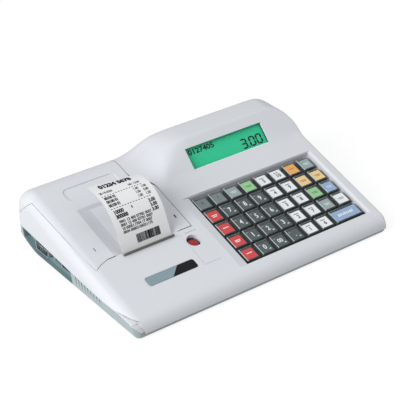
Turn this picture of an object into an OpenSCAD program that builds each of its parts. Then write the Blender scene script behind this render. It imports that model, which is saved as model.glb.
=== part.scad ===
// Ticket register: a table-top register with a clamshell ticket printer at the left,
// a keyboard of relegendable keys at the right and a display tower behind the keys.
// Millimetres. The origin is the middle of the footprint at table level. +X is the operator's right,
// +Y is towards the customer and +Z is up.

/* [Case] */
// Width of the case
case_w = 312; // [308:1:316]
// Depth of the case
case_d = 204; // [202:1:206]
// Height of the sloping deck above the table at the middle of the case
deck_mid_z = 44.2; // [43.5:0.1:45]
// Slope of the deck
deck_tilt = 16.3; // [16:0.1:16.6]
// Thickness of the moulded walls
wall = 2.5; // [2.2:0.1:2.8]
// Radius of the nose along the front edge
nose_r = 16; // [15:0.5:18]
// Radius of the deck's rear edge
rear_r = 21; // [19:0.5:22]
// Radius of the left edge and of both left corners
left_edge_r = 14; // [12:0.5:14.5]
// Radius of the right edge beside the keys
right_edge_r = 3.2; // [3:0.2:4]

/* [Display tower] */
// Height of the tower above the table
tower_h = 81; // [80:0.5:82]
// Slope of the display face
face_tilt = 44.2; // [42:0.2:46]
// Middle of the display, to the right of the middle of the case
display_x = 65; // [62:1:68]
// Middle of the display, behind the middle of the case
display_y = 44.9; // [44:0.1:46]
// Height of the middle of the display
display_z = 64.4; // [63.5:0.1:65]
// Width and height of the display window's opening
display_size = [98, 23.4];
// Width and height of the customer window's opening
customer_size = [84, 15];
// Softness of the fold where the deck turns up into the face
foot_round = 4.2; // [3:0.2:5]
// Softness of the crease along the tower's front lip
crease_round = 1.8; // [1:0.2:3]
// Radius of the tower's rear edge
tower_rear_r = 12; // [11.5:0.5:13]
// Radius of the tower's right end, where the front lip turns down to the case's edge
tower_end_r = 28; // [26:1:30]
// Lean of the tower's rear face
rear_lean = 14; // [13:0.5:15]
// Where the tower's left flank meets the deck, at the rear
flank_foot_x = -47; // [-49:0.5:-46]
// How far the flank's foot moves right for each millimetre towards the operator
flank_sweep = 0.38; // [0.3:0.02:0.45]
// Rise of the flank for each millimetre to the right, at the front and at the rear
flank_slopes = [0.56, 0.46];
// Width of the flank's hollow foot, at the front and at the rear
flank_hollows = [14, 34];

/* [Keyboard] */
// Spacing of the keys
key_pitch = 19.05; // [19:0.01:19.1]
// Slope of the keyboard
key_tilt = 15.2; // [15:0.1:15.4]
// Rear left corner of the keyboard, at the level of the key tops
key_origin = [-10.5, 8.75, 44];
// Gap between neighbouring keys
key_gap = 1.5; // [1.3:0.1:1.9]
// Height of a key cap
cap_h = 7; // [6.5:0.1:7.2]
// Travel of a key
key_travel = 2.8; // [2.4:0.1:3]

/* [Printer] */
// Middle of the printer
printer_x = -84; // [-85:0.5:-83]
// Width of the ticket paper
paper_w = 57; // [56:0.5:58]
// Diameter of a full paper roll
roll_d = 44; // [38:1:46]
// Diameter of the platen roller's rubber
platen_d = 12; // [11:0.5:12]

/* [Base] */
// Height of the rubber feet
foot_h = 2; // [1.5:0.5:2.5]
// Depth of the connector recess in the left side
port_depth = 8; // [6:0.5:9]

/* [Hidden] */
key_columns = 8;
key_rows = 5;
wide_key_column = 7;
function keys_in_row(row) = row == key_rows ? wide_key_column : key_columns;
function key_name(row, column) = str("key_r", row, "c", column);
$fn = 48;

// Colours of the mouldings
shell_white = [0.86, 0.88, 0.9];
base_green_grey = [0.6, 0.68, 0.68];
steel = [0.7, 0.71, 0.72];
board_green = [0.1, 0.35, 0.22];
rubber_black = [0.08, 0.08, 0.09];
key_dark = [0.16, 0.18, 0.19];
key_red = [0.8, 0.16, 0.16];
key_white = [0.9, 0.92, 0.92];
key_grey = [0.56, 0.63, 0.63];
key_orange = [0.94, 0.66, 0.3];
key_pale_orange = [0.94, 0.8, 0.55];
key_green = [0.56, 0.8, 0.54];
key_blue = [0.58, 0.7, 0.84];
key_slate = [0.36, 0.44, 0.45];
key_colours = [
    [key_slate, key_slate, key_grey, key_green, key_white, key_white, key_orange, key_grey],
    [key_red, key_dark, key_dark, key_dark, key_white, key_white, key_pale_orange, key_pale_orange],
    [key_red, key_dark, key_dark, key_dark, key_white, key_white, key_green, key_blue],
    [key_red, key_dark, key_dark, key_dark, key_white, key_white, key_grey, key_white],
    [key_red, key_dark, key_dark, key_dark, key_white, key_white, key_blue]];

half_w = case_w / 2;
half_d = case_d / 2;
seam_gap = 0.5;
fit_gap = 0.3;

// ---------------------------------------------------------------- surface of the upper case

// Height of the plain sloping deck
function deck_z(y) = deck_mid_z + y * tan(deck_tilt);
// Height of the plane that the display lies in
function face_z(y) = display_z + (y - display_y) * tan(face_tilt);
function soft_max(a, b, k) = let (h = max(k - abs(a - b), 0) / k) max(a, b) + h * h * k / 4;
function soft_min(a, b, k) = -soft_max(-a, -b, k);
// Height of the full tower, with its top strip lowered by drop: deck, folded up into the face, creased
// over into the strip
function tower_z(y, drop = 0) =
    soft_min(soft_max(deck_z(y), face_z(y), foot_round), tower_h - drop, crease_round);
function tower_slope(y) = tower_z(y + 0.5) - tower_z(y - 0.5);

// Height that the flank reaches above the deck, u millimetres to the right of its foot. Its hollow foot
// is wider at the rear.
function ramp(t) = t <= 0 ? 0 : t >= 1 ? 1 : t * t * (3 - 2 * t);
function flank_rise(u, y) =
    let (rear = ramp((y - 40) / 42),
         slope = flank_slopes[0] + rear * (flank_slopes[1] - flank_slopes[0]),
         hollow = flank_hollows[0] + rear * (flank_hollows[1] - flank_hollows[0]))
    u <= 0 ? 0 :
    u < hollow ? slope * u * u / (2 * hollow) :
    slope * (u - hollow / 2);
function flank_foot(y) = flank_foot_x + flank_sweep * max(tower_rear_y - y, 0);
// The lower of the tower and its flank, rounded together
function flank_blend(tall, rise) =
    tall <= 0.01 || rise <= 0 ? 0 : rise / pow(pow(tall, 4) + pow(rise, 4), 1 / 4);
function tower_share(x, y) = flank_blend(tower_z(y) - deck_z(y), flank_rise(x - flank_foot(y), y));

nose_y = nose_r - half_d;
nose_z = deck_z(nose_y) - nose_r / cos(deck_tilt);
rear_y = half_d - rear_r;
rear_z = deck_z(rear_y) - rear_r / cos(deck_tilt);
tower_rear_z = tower_h - tower_rear_r;
tower_rear_y = half_d - (tower_rear_z - rear_z) * tan(rear_lean) - tower_rear_r / cos(rear_lean);
low_z = -8;
nose_steps = 8;
rear_steps = 9;
lean_steps = 2;

// Where the face starts, and where the front lip runs when the top strip has come down by drop
fold_y = (display_z - deck_mid_z - display_y * tan(face_tilt)) / (tan(deck_tilt) - tan(face_tilt));
function lip_y(drop) = display_y + (tower_h - drop - display_z) / tan(face_tilt);
// Ribs close up on the face as the lip comes down, down to a last drop that keeps them apart
last_lip_drop = 20;
function rib_y(y, drop) =
    let (lip = lip_y(min(drop, last_lip_drop)))
    y <= fold_y ? y :
    y < lip_y(0) ? fold_y + (y - fold_y) * (lip - fold_y) / (lip_y(0) - fold_y) :
    lip + (y - lip_y(0)) * (tower_rear_y - lip) / (tower_rear_y - lip_y(0));

// A rib is one lengthwise line of the case: its place on the deck's outline, its place on the tower's
// outline, the way its ends are rounded off, and where it is along the case
function low_rib(side, inset) =
    let (p = [side * (half_d - inset), low_z]) [p, p, [side, 0], side * half_d];
function nose_rib(step, inset) =
    let (turn = step / nose_steps, a = turn * (90 - deck_tilt), r = nose_r - inset,
         p = [nose_y - r * cos(a), nose_z + r * sin(a)])
    [p, p, [-cos(90 * turn), sin(90 * turn)], nose_y];
function top_rib(plain_y, inset, drop) =
    let (y = rib_y(plain_y, drop), slope = tower_slope(plain_y))
    [[y, deck_z(y) - inset / cos(deck_tilt)],
     [y, tower_z(y, drop) - inset * sqrt(1 + slope * slope)],
     [0, 1], y];
function rear_rib(step, inset, drop) =
    let (turn = step / rear_steps,
         a = (90 + deck_tilt) * (1 - turn),
         arcs = rear_steps - lean_steps,
         b = 90 - (90 - rear_lean) * min(step / arcs, 1),
         fall = max(step - arcs, 0) / lean_steps,
         r = tower_rear_r - inset,
         arc_end = [tower_rear_y + r * cos(b), tower_rear_z + r * sin(b)],
         foot = [half_d - inset / cos(rear_lean), rear_z],
         tall = arc_end + fall * (foot - arc_end),
         left = 1 - drop / (tower_h - inset - rear_z))
    [[rear_y + (rear_r - inset) * cos(a), rear_z + (rear_r - inset) * sin(a)],
     [tall[0], rear_z + left * (tall[1] - rear_z)],
     [cos(90 - 90 * turn), sin(90 - 90 * turn)], tower_rear_y];

// Where the outline has a point across the top: close together over the fold and the crease
top_ys = [10, 18, 24, 27, 30, 33, 36, 39, 42.5, 46, 50, 54, 57.5, 59.8, 60.9, 62, 63.2, 65, 69, 74];
function ribs(inset, drop) = concat(
    [low_rib(-1, inset)],
    [for (step = [0:nose_steps]) nose_rib(step, inset)],
    [for (y = top_ys) top_rib(y, inset, drop)],
    [for (step = [0:rear_steps]) rear_rib(step, inset, drop)],
    [low_rib(1, inset)]);

function edge_drop(d, r) = d >= r ? 0 : r - sqrt(r * r - (r - d) * (r - d));
function rib_point(rib, x, half, inset) =
    let (share = tower_share(x, rib[3]),
         p = rib[0] + share * (rib[1] - rib[0]),
         drop = edge_drop(x + half, left_edge_r - inset) + edge_drop(half - x, right_edge_r - inset),
         q = p - drop * rib[2])
    [x, q[0], q[1]];

// Stations across the width: close together over the flank, round the tower's end and at both edges
end_steps = 6;
tower_end_steps = 10;
tower_end_last = 4;
function end_station(step, steps, r) = r * (1 - cos(90 * step / steps));
function stations(half, inset) = concat(
    [for (step = [0:end_steps]) end_station(step, end_steps, left_edge_r - inset) - half],
    [-100], [for (x = [-50:4:26]) x], [60, 100],
    [for (step = [tower_end_steps:-1:tower_end_last])
        half - end_station(step, tower_end_steps, tower_end_r - inset)],
    [for (step = [end_steps:-1:0]) half - end_station(step, end_steps, right_edge_r - inset)]);

// Solid inside the case's outer skin, or inside the same skin moved in by inset, as far right as x_end.
// Each four-sided patch is split along its higher diagonal, which keeps the creases smooth.
// Its ends are fans round a point that sees the whole outline, which is hollow at the tower's fold.
fan_at = [60, -4];
module envelope(inset, x_end = half_w) {
    half = half_w - inset;
    xs = [for (x = stations(half, inset)) if (x <= x_end) x];
    n = len(ribs(inset, 0));
    last = len(xs) - 1;
    middle = (last + 1) * n;
    points = concat(
        [for (x = xs) for (rib = ribs(inset, edge_drop(half - x, tower_end_r - inset)))
            rib_point(rib, x, half, inset)],
        [for (x = [xs[0], xs[last]]) [x, fan_at[0], fan_at[1]]]);
    left_end = [for (i = [0:n - 1]) [middle, (i + 1) % n, i]];
    right_end = [for (i = [0:n - 1]) [middle + 1, last * n + i, last * n + (i + 1) % n]];
    sides = [for (j = [0:last - 1]) for (i = [0:n - 1])
        let (k = (i + 1) % n, a = j * n + i, b = a + n, c = (j + 1) * n + k, d = c - n)
        each points[a][2] + points[c][2] < points[b][2] + points[d][2]
            ? [[a, d, b], [b, d, c]] : [[a, c, b], [a, d, c]]];
    polyhedron(points, concat(left_end, sides, right_end), convexity = 8);
}

// ---------------------------------------------------------------- placing helpers

// Extrude an outline drawn as [y, z] from x0 to x1
module along_x(x0, x1) {
    translate([x0, 0, 0]) rotate([90, 0, 90]) linear_extrude(x1 - x0, convexity = 6) children();
}
// Extrude an outline drawn as [x, z] from y0 to y1
module along_y(y0, y1) {
    translate([0, y1, 0]) rotate([90, 0, 0]) linear_extrude(y1 - y0, convexity = 6) children();
}
// A rod along X between x0 and x1 at [y, z]
module rod_x(x0, x1, centre, d) {
    translate([x0, centre[0], centre[1]]) rotate([0, 90, 0]) cylinder(h = x1 - x0, d = d);
}
// Children drawn with z along the deck's normal, with x and y measured along the deck
module on_deck() {
    translate([0, 0, deck_mid_z]) rotate([deck_tilt, 0, 0]) children();
}
// Distance along the deck of a point that is y behind the middle of the case
function deck_run(y) = y / cos(deck_tilt);
module on_keyboard() {
    translate(key_origin) rotate([key_tilt, 0, 0]) children();
}
module on_face() {
    translate([display_x, display_y, display_z]) rotate([face_tilt, 0, 0]) children();
}
// Children drawn with z along the outward normal of the tower's rear face, and x to the customer's left
rear_face_z = 59.5;
module on_rear_face() {
    translate([display_x, half_d - (rear_face_z - rear_z) * tan(rear_lean), rear_face_z])
        rotate([rear_lean - 90, 0, 0]) mirror([0, 1, 0]) children();
}
// A plate with round corners made of exact solids, centred on the origin, from z0 to z1
module rounded_plate(size, r, z0, z1) {
    translate([0, 0, z0]) linear_extrude(z1 - z0) {
        square([size[0] - 2 * r, size[1]], center = true);
        square([size[0], size[1] - 2 * r], center = true);
        for (x = [-1, 1]) for (y = [-1, 1])
            translate([x * (size[0] / 2 - r), y * (size[1] / 2 - r)]) circle(r);
    }
}
module box(low, high) {
    translate(low) cube(high - low);
}

// ---------------------------------------------------------------- seams

hinge_y = 95;
hinge_z = 49;
hinge_at = [hinge_y, hinge_z];
bead_r = half_d - hinge_y;
rod_d = 3;
rod_bore = 3.1;
side_seam_mid_z = 42.2;
side_seam_slope = 0.258;
seam_turn_y = 72;
lid_front_y = -22.6;
lid_right_x = -31.5;
lid_rear_right_x = -48.5;
lid_station_end = -26;
ledge_x = -142;

// Side view of what belongs to the lid: above the side seam, and round the hinge bead at the rear
module lid_side_view(gap) {
    polygon([
        [-half_d, side_seam_mid_z - side_seam_slope * half_d + gap],
        [seam_turn_y, side_seam_mid_z + side_seam_slope * seam_turn_y + gap],
        [hinge_y - bead_r * 0.8, hinge_z - bead_r * 0.6 + gap],
        [hinge_y, hinge_z],
        [half_d + 20, hinge_z],
        [half_d + 20, tower_h + 20],
        [-half_d, tower_h + 20]]);
    translate(hinge_at) circle(bead_r - gap);
}
// Plan of the lid: its front seam turns forward at the left, its right seam turns round the tower.
// The gaps at the front and in that turn are wider, because the lid sweeps over them as it opens.
module lid_plan(gap) {
    front = 1.6 * gap;
    turn = 4 * gap;
    polygon(concat(
        [[-half_w - 10, -37.5 + front], [-half_w + 4, -34.5 + front], [-146, -30 + front],
         [-138, -25.8 + front], [-129, lid_front_y - 0.4 + front], [-114, lid_front_y + front],
         [lid_right_x - gap, lid_front_y + front], [lid_right_x - gap, 34 - turn]],
        [for (t = [0:0.125:1])
            [lid_right_x - gap + (lid_rear_right_x - lid_right_x) * (1 - cos(180 * t)) / 2,
             36 + 27 * t - turn]],
        [[lid_rear_right_x - gap, half_d + 10], [-half_w - 10, half_d + 10]]));
}
// The space of the printer lid, moved in by gap all round. Right of the ledge that the left edge rests
// on, the space goes down through the whole skin.
module lid_zone(gap) {
    intersection() {
        union() {
            along_x(-half_w - 10, lid_right_x + 5) lid_side_view(gap);
            along_x(ledge_x + gap, lid_right_x + 5)
                polygon([[-half_d, 5], [70, 52], [70, tower_h + 20], [-half_d, tower_h + 20]]);
        }
        linear_extrude(2 * tower_h) lid_plan(gap);
    }
}

// Side view of the parting line between upper and lower case: it climbs to the rear, and turns down
// to the table in front, where the upper case covers the whole front wall
part_front = [-90, 15.6];
part_slope = 0.0745;
part_skirt_z = 2.4;
function part_z(y) = part_front[1] + (y - part_front[0]) * part_slope;
module above_parting(gap) {
    polygon(concat(
        [for (a = [0:10:90])
            [part_front[0] - (half_d + part_front[0]) * cos(a),
             part_skirt_z + (part_front[1] - part_skirt_z) * sin(a) + gap]],
        [[half_d + 10, part_z(half_d + 10) + gap], [half_d + 10, 120], [-half_d - 10, 120],
         [-half_d - 10, part_skirt_z + gap]]));
}

// ---------------------------------------------------------------- keyboard sizes

well_margin = 1.2;
well_depth = 5.5;
plate_top = cap_h + key_travel + 0.4;
plate_t = 2.6;
block_w = key_columns * key_pitch;
block_d = key_rows * key_pitch;
guide_w = 9;
stem_w = 6;
stem_hole = stem_w + 2 * fit_gap;
guide_top = 5;

// The well that the keys stand in, with a shallow sloping strip along its left and its right side
strip_depth = 1.5;
strip_w = [9.1, 2.9];
module key_well() {
    left_x = key_origin[0] - well_margin;
    right_x = key_origin[0] + block_w + well_margin;
    on_keyboard() intersection() {
        along_y(-block_d - 12, 20)
            translate([-well_margin, -plate_top - 0.1]) square([block_w + 2 * well_margin, 60]);
        key_well_length(well_margin);
    }
    intersection() {
        on_deck() along_y(-150, 60) polygon([
            [left_x - 2 * strip_w[0], strip_depth], [left_x, -strip_depth],
            [right_x, -strip_depth], [right_x + 2 * strip_w[1], strip_depth]]);
        on_keyboard() key_well_length(well_margin + 0.4);
    }
}
// Side view of the well: a rear wall that hardly leans, and a front wall that opens out at the top
module key_well_length(rear) {
    along_x(-40, block_w + 20) polygon([
        [rear + 1.5, 30], [rear + 0.5, 3.4], [rear, -well_depth], [rear, -plate_top - 0.1],
        [-block_d - well_margin, -plate_top - 0.1], [-block_d - well_margin, -1.6],
        [-block_d - 2, 0.6], [-block_d - 3, 8], [-block_d - 3, 30]]);
}
// The walls round the well, under the deck
module key_well_walls() {
    intersection() {
        on_keyboard() box([-10, -block_d - 3.4, -plate_top], [block_w + 7, 6, 30]);
        on_deck() box([-half_w, -half_d, -30], [half_w, half_d, -1.2]);
    }
}

// ---------------------------------------------------------------- upper case

// Places of the case screws, and the height that the boss above each one may reach
screw_places = [
    [-148, -84, 100], [-60, -88, 100], [147, -92, 100],
    [-138.5, 92, hinge_z - 13], [-30, 84, 100], [145, 84, 100]];
boss_d = 7;
boss_run = 5;
screw_run = 9;
// Height of the case's underside, and of the seat of a screw's head inside it
function under_z(y) =
    y < heel[0] ? foot_h : heel[1] - heel_r[1] * sqrt(1 - pow((y - heel[0]) / heel_r[0], 2));
function seat_z(p) = under_z(p[1]) + 3;
screw_core_d = 2.6;
screw_clear_d = 3;
screw_head_h = 2.2;

button_at = [-41.1, -38.4];
button_hole_d = 14.6;
badge_at = [-84, -61.8];
badge_size = [56, 11.2];
slot_w = 58;
slot_front_y = -26.6;
ear_xs = [-140, -57];
ear_t = 3;
lens_seat = 2.4;
lens_t = 1.5;
board_front = 6.5;
display_posts = [[-51, -16.5], [51, -16.5], [-51, 16.5], [51, 16.5]];
customer_posts = [[-47, 0], [47, 0]];

module top_case() {
    color(shell_white) difference() {
        union() {
            difference() {
                envelope(0);
                envelope(wall);
                lid_zone(0);
                on_deck() box([printer_x - slot_w / 2, deck_run(slot_front_y), -8],
                    [printer_x + slot_w / 2, deck_run(lid_front_y) + 1, 8]);
            }
            key_well_walls();
            hinge_ears();
            case_bosses();
            button_guide();
            tear_edge();
            on_face() posts(display_posts, 5);
            on_rear_face() posts(customer_posts, 4);
        }
        along_x(-half_w - 10, half_w + 10) difference() {
            translate([-half_d - 20, -20]) square([case_d + 40, 80]);
            above_parting(0);
        }
        box([-half_w - 10, hinge_y, hinge_z - bead_r - seam_gap], [lid_rear_right_x, half_d + 10, hinge_z]);
        key_well();
        rod_x(-146, -49, hinge_at, rod_d);
        screw_holes(0, screw_run + 1, screw_core_d);
        window_cutouts();
        deck_cutouts();
    }
}
// C-shaped ears that reach into the lid's hinge bead from below
module hinge_ears() {
    for (x = ear_xs) {
        rod_x(x, x + ear_t, hinge_at, 7.6);
        box([x, hinge_y - 15, hinge_z - 2.5], [x + ear_t, hinge_y, hinge_z + 2.5]);
        box([x, hinge_y - 16, hinge_z - 17], [x + ear_t, hinge_y - 11, hinge_z + 2.5]);
        box([x, hinge_y - 16, hinge_z - 17], [x + ear_t, half_d - 1, hinge_z - 12]);
    }
}
module case_bosses() {
    intersection() {
        envelope(1);
        union() {
            for (p = screw_places)
                translate([p[0], p[1], seat_z(p) + boss_run])
                    cylinder(h = p[2] - seat_z(p) - boss_run, d = boss_d);
        }
    }
}
// Holes on the screws' axes, from low to high above the seats of their heads
module screw_holes(low, high, d) {
    for (p = screw_places) translate([p[0], p[1], seat_z(p) + low]) cylinder(h = high - low, d = d);
}
module posts(places, d) {
    for (p = places) translate([p[0], p[1], -board_front]) cylinder(h = board_front - 1.5, d = d);
}

// Toothed strip along the front of the ticket slot, set a little below the deck
tear_y = [-27.2, -26];
tear_pitch = 1.5;
tear_z = [-2.3, -0.9];
module tear_edge() {
    teeth = floor(slot_w / tear_pitch);
    left_x = printer_x - slot_w / 2;
    on_deck() translate([0, 0, tear_z[0]]) linear_extrude(tear_z[1] - tear_z[0]) polygon(concat(
        [[left_x - 0.5, deck_run(tear_y[0])], [left_x - 0.5, deck_run(tear_y[1])]],
        [for (i = [0:teeth - 1]) for (p = [[0.2, 0], [0.5, 0.9], [0.8, 0]])
            [left_x + (i + p[0]) * tear_pitch, deck_run(tear_y[1]) + p[1]]],
        [[left_x + slot_w + 0.5, deck_run(tear_y[1])], [left_x + slot_w + 0.5, deck_run(tear_y[0])]]));
}

button_d = 13.4;
button_rest = 3;
button_travel = 3;
flange_d = 16.4;
guide_bore = 6.1;
// Cup under the deck that holds the release button and guides its stem
module button_guide() {
    on_button() {
        difference() {
            translate([0, 0, -12.5]) cylinder(h = 11.5, d = flange_d + 4);
            translate([0, 0, -11]) cylinder(h = 20, d = flange_d + 1);
            translate([0, 0, -20]) cylinder(h = 40, d = guide_bore);
        }
        translate([0, 0, -4.2]) difference() {
            cylinder(h = 3, d = flange_d + 2);
            translate([0, 0, -1]) cylinder(h = 5, d = button_hole_d);
        }
    }
}
module on_button() {
    on_deck() translate([button_at[0], deck_run(button_at[1]), 0]) children();
}
// Openings and seats of the two display windows
module window_cutouts() {
    on_face() {
        rounded_plate(display_size, 1, -lens_seat - 1, 12);
        rounded_plate(display_size + [6.2, 5.8], 1, -lens_seat - lens_t, -lens_seat);
    }
    on_rear_face() {
        rounded_plate(customer_size, 2, -lens_seat - 1, 12);
        rounded_plate(customer_size + [4.2, 3.2], 1, -lens_seat - lens_t, -lens_seat);
    }
}
// Button hole, badge pocket and the fine line round the button's panel
module deck_cutouts() {
    line_w = 0.5;
    on_button() translate([0, 0, -4.5]) cylinder(h = 8, d = button_hole_d);
    on_deck() {
        translate([badge_at[0], deck_run(badge_at[1]), 0]) rounded_plate(badge_size, 2.5, -0.5, 5);
        box([-49.3, deck_run(-68), -0.35], [-49.3 + line_w, deck_run(-28), 2]);
        box([-49.3, deck_run(-68), -0.35], [-31, deck_run(-68) + line_w, 2]);
        box([-44, deck_run(-28), -0.35], [-31, deck_run(-28) + line_w, 2]);
    }
}

// ---------------------------------------------------------------- lower case

floor_z = foot_h + wall;
base_foot_w = 152;
base_lean = 3.2 / 28;
base_edge_r = 4;
base_right_r = 5;
heel = [50, 32];
heel_r = [52, 30];
recess_y = [4.5, 90];
panel_x = -half_w + port_depth + 2;
panel_t = 2;

// Side view of the lower case, moved in by inset: flat floor, and a heel curving up to the rear
module base_side(inset) {
    polygon(concat(
        [[-half_d + 0.8 + inset, 60], [-half_d + 0.8 + inset, foot_h + inset]],
        [for (a = [0:7.5:90])
            [heel[0] + (heel_r[0] - inset) * sin(a), heel[1] - (heel_r[1] - inset) * cos(a)]],
        [[half_d - inset, 60]]));
}
// Front view of the lower case: round bottom edges and sides leaning out
module base_front(inset) {
    r = base_edge_r - inset;
    half = [for (a = [0:15:90])
        [base_foot_w - inset - r + r * sin(a), foot_h + inset + r - r * cos(a)]];
    top = [[base_foot_w - inset + 40 * base_lean, foot_h + 40]];
    right = concat(half, top);
    polygon(concat(right, [for (i = [len(right) - 1:-1:0]) [-right[i][0], right[i][1]]]));
}
module base_plan(inset) {
    w = half_w - 0.8 - inset;
    d = half_d - inset;
    r = [left_edge_r - 1 - inset, base_right_r - inset];
    translate([-w + r[0], -d]) square([2 * w - r[0] - r[1], 2 * d]);
    translate([-w, -d + r[0]]) square([r[0], 2 * (d - r[0])]);
    translate([w - r[1], -d + r[1]]) square([r[1], 2 * (d - r[1])]);
    for (side = [-1, 1]) {
        translate([-w + r[0], side * (d - r[0])]) circle(r[0]);
        translate([w - r[1], side * (d - r[1])]) circle(r[1]);
    }
}
module base_block(inset) {
    intersection() {
        along_x(-half_w, half_w) base_side(inset);
        along_y(-half_d, half_d) base_front(inset);
        linear_extrude(60) base_plan(inset);
    }
}
module recess_side(grow, roof) {
    polygon([
        [recess_y[0] - grow, foot_h + 1 - grow], [recess_y[1] + grow, foot_h + 1 - grow],
        [recess_y[1] + grow, part_z(recess_y[1]) + roof], [recess_y[0] - grow, part_z(recess_y[0]) + roof]]);
}

// Connectors in the side panel: place, height of the middle, width, height and how far they stand out
dsub = [61.3, 12.8, 25, 8.4, 5];
jack = [39.5, 12.6, 9, 10, 0.6];
usb = [27, 12.2, 12, 10.8, 0.6];
phone = [12.5, 13.6, 13, 12, 0.6];
connectors = [dsub, jack, usb, phone];
board_z = floor_z + 1.5;
main_board_z = floor_z + 3.5;
main_board_low = [0, 20];
main_board_high = [130, 88];

module bottom_case() {
    color(base_green_grey) difference() {
        union() {
            difference() {
                base_block(0);
                difference() {
                    base_block(wall);
                    along_x(-half_w, panel_x + panel_t) recess_side(panel_t, 10);
                }
            }
            intersection() {
                base_block(1);
                screw_holes(-wall - 4, boss_run, boss_d);
            }
            for (x = [main_board_low[0] + 5, main_board_high[0] - 5])
                for (y = [main_board_low[1] + 5, main_board_high[1] - 22])
                    translate([x, y, under_z(y) + 1]) cylinder(h = main_board_z - under_z(y) - 1, d = 6);
            for (y = [10, 34, 60])
                translate([-124, y, under_z(y) + 1]) cylinder(h = board_z - under_z(y) - 1, d = 5);
        }
        along_x(-half_w - 10, half_w + 10) above_parting(-fit_gap);
        along_x(-half_w - 10, panel_x) intersection() {
            recess_side(0, -panel_t - fit_gap);
            base_side(1.2);
        }
        for (c = connectors)
            box([panel_x - 1, c[0] - c[2] / 2 - fit_gap, c[1] - c[3] / 2 - fit_gap],
                [panel_x + panel_t + 1, c[0] + c[2] / 2 + fit_gap, c[1] + c[3] / 2 + fit_gap]);
        for (y = [-45:5:-5])
            box([-half_w - 5, y, 8], [-base_foot_w - 0.2, y + 1.5, part_z(y) - 3]);
        screw_holes(-12, 0, 6.4);
        screw_holes(-1, boss_run + 1, screw_clear_d);
    }
}

// Rubber feet under the flat part of the floor
foot_places = [[-120, -84], [120, -84], [-143, -27], [143, -27], [-128, 46], [128, 46]];
module feet() {
    color(rubber_black) for (p = foot_places)
        translate([p[0], p[1], 0]) cylinder(h = foot_h, d1 = 10.6, d2 = 12);
}
module case_screws() {
    color(steel) for (p = screw_places) translate([p[0], p[1], seat_z(p)]) difference() {
        union() {
            translate([0, 0, -screw_head_h]) cylinder(h = screw_head_h, d = 5.6);
            translate([0, 0, -screw_head_h]) cylinder(h = screw_head_h + screw_run, d = screw_core_d);
        }
        box([-1.6, -0.4, -screw_head_h - 1], [1.6, 0.4, -screw_head_h + 1.2]);
        box([-0.4, -1.6, -screw_head_h - 1], [0.4, 1.6, -screw_head_h + 1.2]);
    }
}

// ---------------------------------------------------------------- printer lid

platen_at = [-16, 28];
platen_shaft_d = 4;
arm_x = [30, 33];
scoop_x = [-107.5, -59.5];
scoop_slope_w = 13.5;
scoop_rear_y = 39;
scoop_depth = 2.6;
scoop_floor_t = 1.8;
bead_x = [-142, -49.2];
bead_d = 12.6;
web_xs = [[-141.9, -140.6], [-136.4, -132.4], [-61.5, -57.6], [-53.4, -49.5]];

// Shallow scoop behind the ticket slot: sloping sides, steep end at the rear
module scoop(lower) {
    on_deck() translate([0, 0, -lower]) intersection() {
        along_y(deck_run(lid_front_y) - 8, deck_run(scoop_rear_y) + 8) polygon([
            [scoop_x[0] - scoop_slope_w - 1, scoop_depth * 1.4], [scoop_x[0] - scoop_slope_w, 0],
            [scoop_x[0], -scoop_depth], [scoop_x[1], -scoop_depth],
            [scoop_x[1] + scoop_slope_w, 0], [scoop_x[1] + scoop_slope_w + 1, scoop_depth * 1.4]]);
        along_x(-half_w, 0) polygon([
            [deck_run(lid_front_y) - 6, -scoop_depth], [deck_run(scoop_rear_y), -scoop_depth],
            [deck_run(scoop_rear_y) + 3, 0], [deck_run(scoop_rear_y) + 7, 6],
            [deck_run(lid_front_y) - 6, 6]]);
    }
}
module lid_skin() {
    difference() {
        intersection() {
            envelope(0, lid_station_end);
            lid_zone(seam_gap);
        }
        envelope(wall, lid_station_end);
    }
}
// The floor under the scoop
module scoop_floor() {
    intersection() {
        scoop(scoop_floor_t);
        on_deck() box([-half_w, deck_run(lid_front_y) + 0.9, -9], [0, half_d, -0.6]);
    }
}
// Round bead along the rear edge, with webs that turn on the hinge rod
module hinge_bead() {
    difference() {
        rod_x(bead_x[0], bead_x[1], hinge_at, bead_d);
        for (i = [0:len(web_xs) - 2]) rod_x(web_xs[i][1], web_xs[i + 1][0], hinge_at, 8.6);
        for (x = ear_xs)
            box([x - seam_gap, hinge_y - 20, hinge_z - 20],
                [x + ear_t + seam_gap, hinge_y + 4.3, hinge_z + 20]);
    }
}
// Arms that hang from the lid and carry the platen roller
module platen_arms() {
    for (side = [-1, 1])
        along_x(printer_x + (side > 0 ? arm_x[0] : -arm_x[1]),
                printer_x + (side > 0 ? arm_x[1] : -arm_x[0])) {
            translate(platen_at) circle(5);
            polygon([platen_at - [5, 0], platen_at + [5, 0], [-6, 40.5], [-20, 36.5]]);
        }
}
module printer_lid() {
    color(shell_white) difference() {
        union() {
            lid_skin();
            scoop_floor();
            hinge_bead();
            platen_arms();
        }
        scoop(0);
        rod_x(-146, -49, hinge_at, rod_bore);
        rod_x(printer_x - arm_x[1] - 1, printer_x + arm_x[1] + 1, platen_at, platen_shaft_d + 0.1);
        on_deck() {
            translate([-90.5, deck_run(61.5), 0]) rounded_plate([61, 17.7], 6, -0.8, 5);
            for (p = [[-132.9, -7.5], [-38.9, -5.2]])
                translate([p[0], deck_run(p[1]), 0]) box([-0.7, -2.2, -5], [0.7, 2.2, 5]);
        }
    }
}
module hinge_rod() {
    color(steel) rod_x(-143, -51, hinge_at, rod_d);
}

// ---------------------------------------------------------------- ticket printer

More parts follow.
